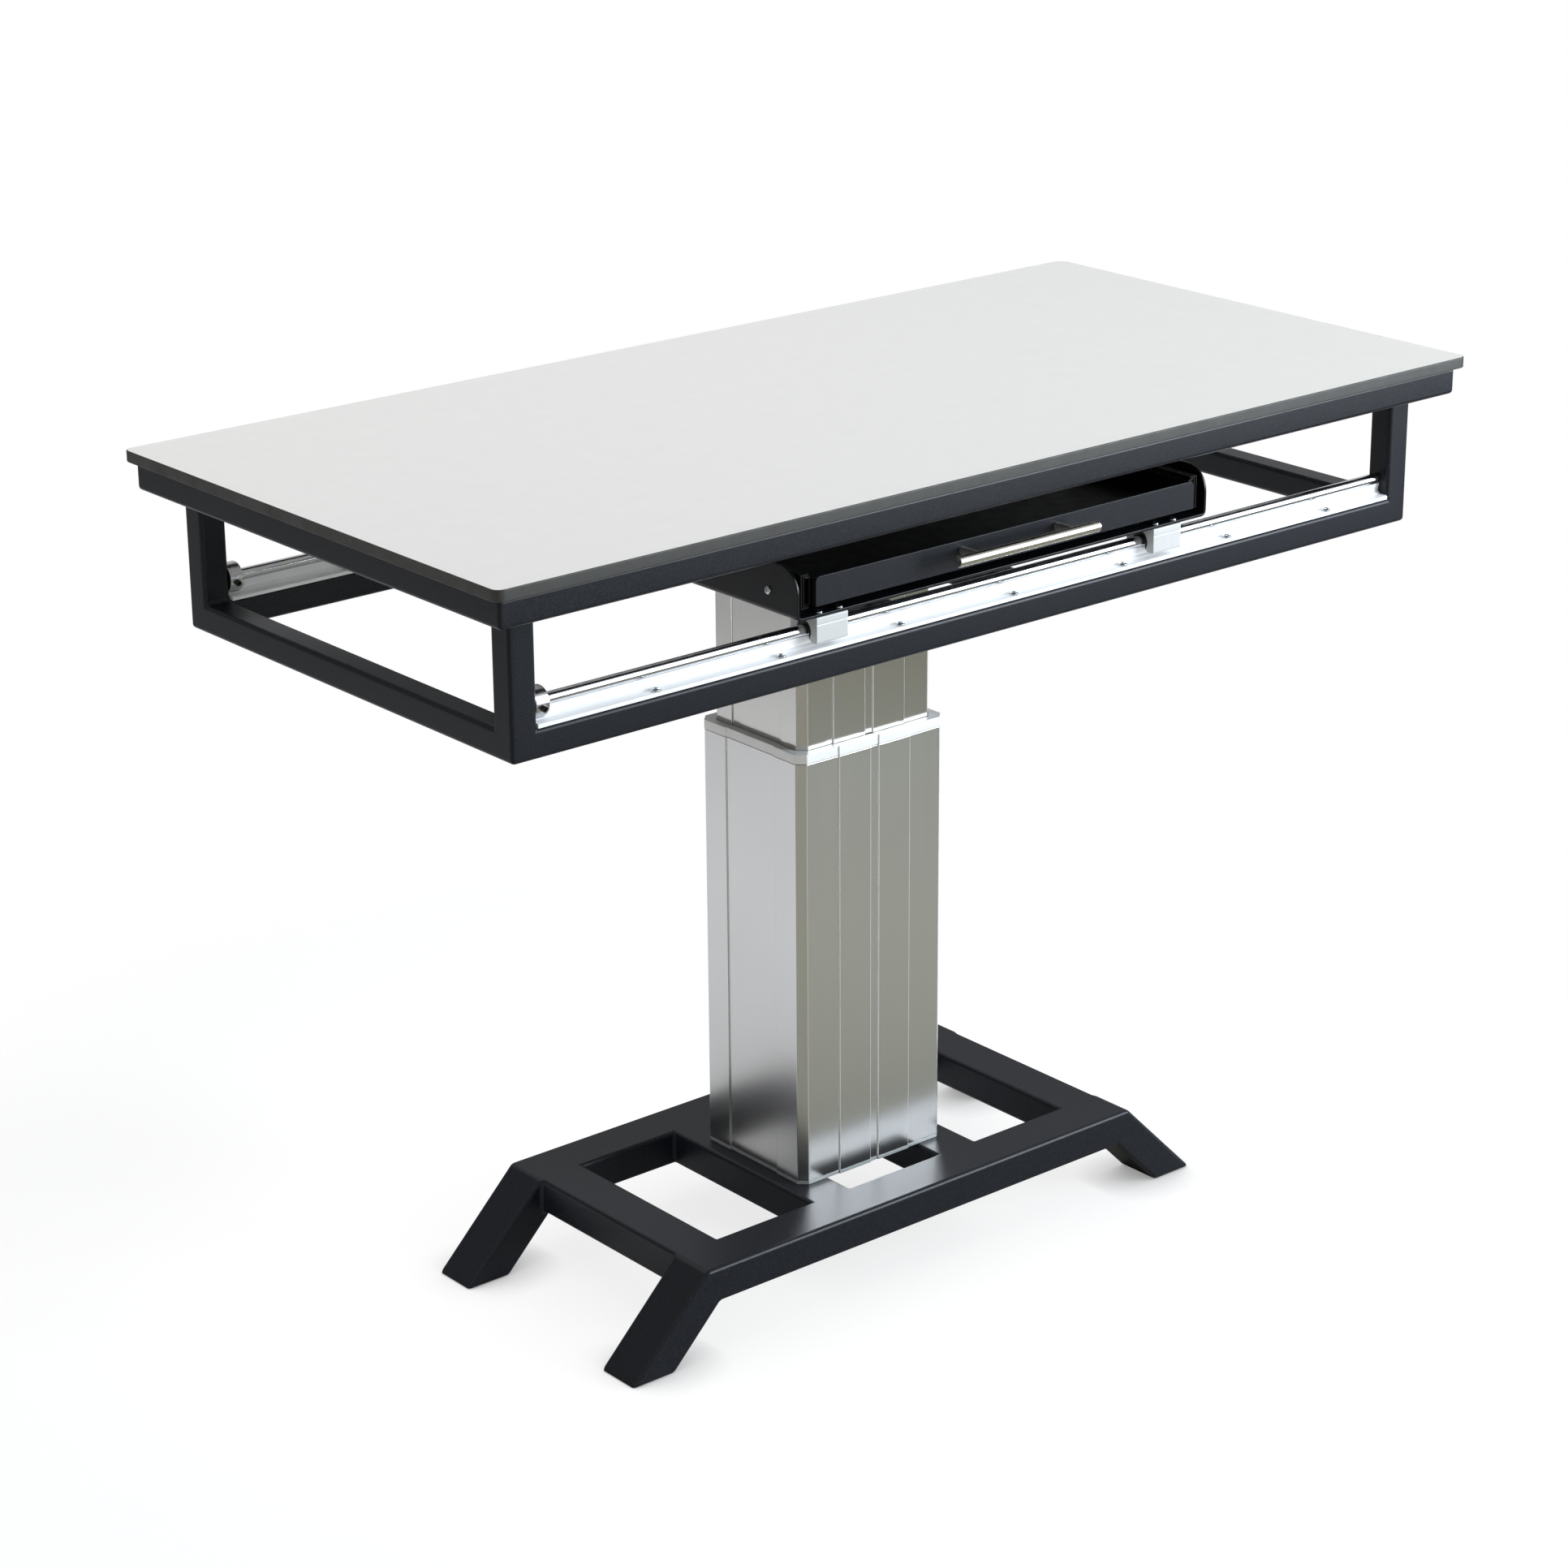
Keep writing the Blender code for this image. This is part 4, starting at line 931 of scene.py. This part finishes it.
@dataclass
class Studio:
    """Floor, lights, background and camera of a product photograph."""

    camera_place: tuple[float, float, float] = (-2.59799, -3.05048, 1.99271)
    azimuth: float = -0.694977
    elevation: float = 0.351581
    roll: float = -0.007057
    focal_share: float = 4849.462 / 1932
    sensor: float = 36.0
    floor_radius: float = 2.5
    floor_solid: float = 1.7
    paper_radius: float = 1.3
    paper_solid: float = 0.5
    floor_white: float = 0.97
    floor_near: tuple[float, float, float, float] = (0.31, 0.295, 0.235, 1.0)
    floor_far: tuple[float, float, float, float] = (0.12, 0.115, 0.09, 1.0)
    floor_left: tuple[float, float, float, float] = (0.39, 0.37, 0.30, 1.0)
    floor_back: tuple[float, float, float, float] = (0.98, 0.98, 0.99, 1.0)
    floor_lift: float = 0.85
    floor_glow: float = 1.08
    painted_shade_layers: tuple[tuple[float, float], ...] = ((0.05, 0.70), (0.24, 0.20))
    front_right_low: tuple[float, float, float, float] = (0.19, 0.18, 0.135, 1.0)
    front_left_low: tuple[float, float, float, float] = (0.38, 0.375, 0.34, 1.0)
    front_strip: tuple[float, float, float, float] = (2.4, 2.5, 2.6, 1.0)
    back_low: tuple[float, float, float, float] = (0.43, 0.43, 0.44, 1.0)
    front_side: tuple[float, float, float, float] = (0.40, 0.40, 0.40, 1.0)
    back_side: tuple[float, float, float, float] = (0.20, 0.20, 0.20, 1.0)
    ceiling: tuple[float, float, float, float] = (0.55, 0.55, 0.55, 1.0)

    def build(self) -> None:
        """Build the whole studio."""
        self.add_floor()
        self.add_lights()
        self.add_world()
        self.add_camera()
        bpy.context.scene.view_settings.view_transform = "Standard"

    def add_floor(self) -> None:
        """Add a pale disc that fades out into the white background, with painted shade near the base."""
        part = bmesh.new()
        bmesh.ops.create_circle(part, cap_ends=True, segments=96, radius=self.floor_radius)
        mesh = bpy.data.meshes.new("studio_floor")
        part.to_mesh(mesh)
        part.free()
        floor = bpy.data.objects.new("studio_floor", mesh)
        bpy.context.scene.collection.objects.link(floor)
        material = bpy.data.materials.new("studio_paper")
        material.use_nodes = True
        tree = material.node_tree
        shader = tree.nodes["Principled BSDF"]
        shader.inputs["Roughness"].default_value = 0.9
        shader.inputs["Specular IOR Level"].default_value = 0.1
        position = add_node(tree, "TexCoord").outputs["Object"]
        reach = add_node(tree, "VectorMath", {"operation": "LENGTH"}, {0: position}).outputs["Value"]
        seen = add_node(tree, "LightPath").outputs["Is Camera Ray"]
        room = self.ramp(tree, reach, self.floor_radius, self.floor_solid)
        paper = self.ramp(tree, reach, self.paper_radius, self.paper_solid)
        fade = add_node(tree, "Mix", None, {0: seen, 2: room, 3: paper}).outputs[0]
        tree.links.new(fade, shader.inputs["Alpha"])
        # Rays other than the camera's see the floor in tones that stand for the room's light: painted shade away to the
        # front and right, painted light to the left and behind.
        axes = add_node(tree, "SeparateXYZ", None, {0: position})
        behind = self.ramp(tree, axes.outputs["Y"], -0.25, 0.15)
        leftward = self.ramp(tree, axes.outputs["X"], -0.1, -0.6)
        away = self.ramp(tree, reach, 0.6, 2.1)
        front_tone = self.blend(tree, away, self.floor_near, self.floor_far)
        front_tone = self.blend(tree, leftward, front_tone, self.floor_left)
        room_tone = self.blend(tree, behind, front_tone, self.floor_back)
        tone = self.blend(tree, seen, room_tone, (self.floor_white,) * 3 + (1.0,))
        tree.links.new(tone, shader.inputs["Base Color"])
        lift = add_node(tree, "Math", {"operation": "MULTIPLY"}, {0: seen, 1: self.floor_lift}).outputs[0]
        lift = add_node(tree, "Math", {"operation": "MULTIPLY"}, {0: lift, 1: fade}).outputs[0]
        glow = self.floor_glow
        # Ambient occlusion dims the white glow near what stands on the floor: a painted contact shadow.
        for reach, share in self.painted_shade_layers:
            unshaded_share = add_node(tree, "AmbientOcclusion", {"samples": 12}, {"Distance": reach}).outputs["AO"]
            glow = add_node(tree, "Math", {"operation": "MULTIPLY"}, {
                0: glow, 1: add_node(tree, "Mix", None, {0: share, 2: 1.0, 3: unshaded_share}).outputs[0]}).outputs[0]
        white = add_node(tree, "Emission", None, {"Color": (1.0, 1.0, 1.0, 1.0), "Strength": glow}).outputs[0]
        mixed = add_node(tree, "MixShader", None, {0: lift, 1: shader.outputs[0], 2: white}).outputs[0]
        tree.links.new(mixed, tree.nodes["Material Output"].inputs["Surface"])
        mesh.materials.append(material)

    def add_lights(self) -> None:
        """Add soft area lights above and beside the table."""
        lights = (
            ("overhead_softbox", (-0.7, 0.9, 3.3), (0.0, 0.0, 0.4), 3.0, 3.0, 1.05, (1.0, 0.99, 0.98)),
            ("left_softbox", (-3.6, 0.4, 1.9), (0.0, 0.0, 0.6), 1.6, 1.6, 0.42, (0.97, 0.98, 1.0)),
            ("right_window", (2.3, -2.75, 1.95), (0.0, -0.1, 1.95), 2.0, 3.2, 5.0, (0.87, 0.935, 1.0)),
            ("window_core", (2.05, -2.55, 1.35), (0.0, -0.1, 0.4), 0.9, 0.9, 22.0, (0.87, 0.935, 1.0)),
            ("right_key", (6.4, -3.7, 2.3), (0.0, -0.28, 0.85), 0.7, 0.7, 90.0, (0.60, 0.80, 1.0)),
            ("rear_window", (1.5, 2.1, 1.9), (0.0, 0.0, 0.9), 4.2, 1.1, 0.6, (0.97, 0.98, 1.0)),
        )
        for name, place, aim, width, height, radiance, tint in lights:
            data = bpy.data.lights.new(name, "AREA")
            data.shape = "RECTANGLE"
            data.size = width
            data.size_y = height
            data.energy = radiance * math.pi * width * height
            data.color = tint
            lamp = bpy.data.objects.new(name, data)
            lamp.location = place
            direction = Vector(aim) - Vector(place)
            lamp.rotation_euler = direction.to_track_quat("-Z", "Y").to_euler()
            lamp.visible_camera = False
            bpy.context.scene.collection.objects.link(lamp)

    def add_world(self) -> None:
        """Set a white backdrop for the camera and a soft grey room around."""
        world = bpy.data.worlds.new("studio")
        world.use_nodes = True
        bpy.context.scene.world = world
        tree = world.node_tree
        background = tree.nodes["Background"]
        direction = add_node(tree, "TexCoord").outputs["Generated"]
        axes = add_node(tree, "SeparateXYZ", None, {0: direction})
        leftward = self.ramp(tree, axes.outputs["X"], 0.2, -0.6)
        backward = self.ramp(tree, axes.outputs["Y"], -0.35, 0.45)
        upward = self.ramp(tree, axes.outputs["Z"], -0.10, 0.10)
        overhead = self.ramp(tree, axes.outputs["Z"], 0.45, 0.80)
        front = self.blend(tree, leftward, self.front_right_low, self.front_left_low)
        rising = self.ramp(tree, axes.outputs["X"], -0.24, -0.12)
        falling = self.ramp(tree, axes.outputs["X"], 0.10, -0.02)
        strip = add_node(tree, "Math", {"operation": "MULTIPLY"}, {0: rising, 1: falling}).outputs[0]
        front = self.blend(tree, strip, front, self.front_strip)
        lower = self.blend(tree, backward, front, self.back_low)
        walls = self.blend(tree, backward, self.front_side, self.back_side)
        upper = self.blend(tree, overhead, walls, self.ceiling)
        room = self.blend(tree, upward, lower, upper)
        path = add_node(tree, "LightPath")
        shown = self.blend(tree, path.outputs["Is Camera Ray"], room, (1.0, 1.0, 1.0, 1.0))
        tree.links.new(shown, background.inputs["Color"])
        background.inputs["Strength"].default_value = 1.0

    @staticmethod
    def ramp(tree: bpy.types.NodeTree, value, low: float, high: float):
        """Ease a value from none at low to full at high."""
        limits = {"Value": value, "From Min": low, "From Max": high}
        return add_node(tree, "MapRange", {"interpolation_type": "SMOOTHSTEP"}, limits).outputs[0]

    @staticmethod
    def blend(tree: bpy.types.NodeTree, share, first, second):
        """Blend two colours by a share."""
        return add_node(tree, "Mix", {"data_type": "RGBA"}, {0: share, 6: first, 7: second}).outputs[2]

    def add_camera(self) -> None:
        """Place the camera where the photograph was taken from."""
        flat = math.cos(self.elevation)
        forward = Vector((-math.sin(self.azimuth) * flat, math.cos(self.azimuth) * flat, -math.sin(self.elevation)))
        level = forward.cross(Vector((0, 0, 1))).normalized()
        upright = level.cross(forward)
        right = level * math.cos(self.roll) + upright * math.sin(self.roll)
        up = upright * math.cos(self.roll) - level * math.sin(self.roll)
        data = bpy.data.cameras.new("photo_camera")
        data.sensor_width = self.sensor
        data.lens = self.focal_share * self.sensor
        data.clip_end = 60.0
        camera = bpy.data.objects.new("photo_camera", data)
        turn = Matrix((right, up, -forward)).transposed().to_4x4()
        camera.matrix_world = Matrix.Translation(self.camera_place) @ turn
        bpy.context.scene.collection.objects.link(camera)
        bpy.context.scene.camera = camera


def main() -> None:
    """Build every sub-assembly in order, then the studio."""
    logging.basicConfig(level=logging.INFO, format="%(message)s")
    for part in (TopPanel(), DoubleFrame(), SplayedBase(), LiftColumn(), ShaftGuides(), Carriage(), CassetteDrawer()):
        LOG.info("building %s", type(part).__name__)
        part.build()
    Studio().build()


if __name__ == "__main__":
    main()
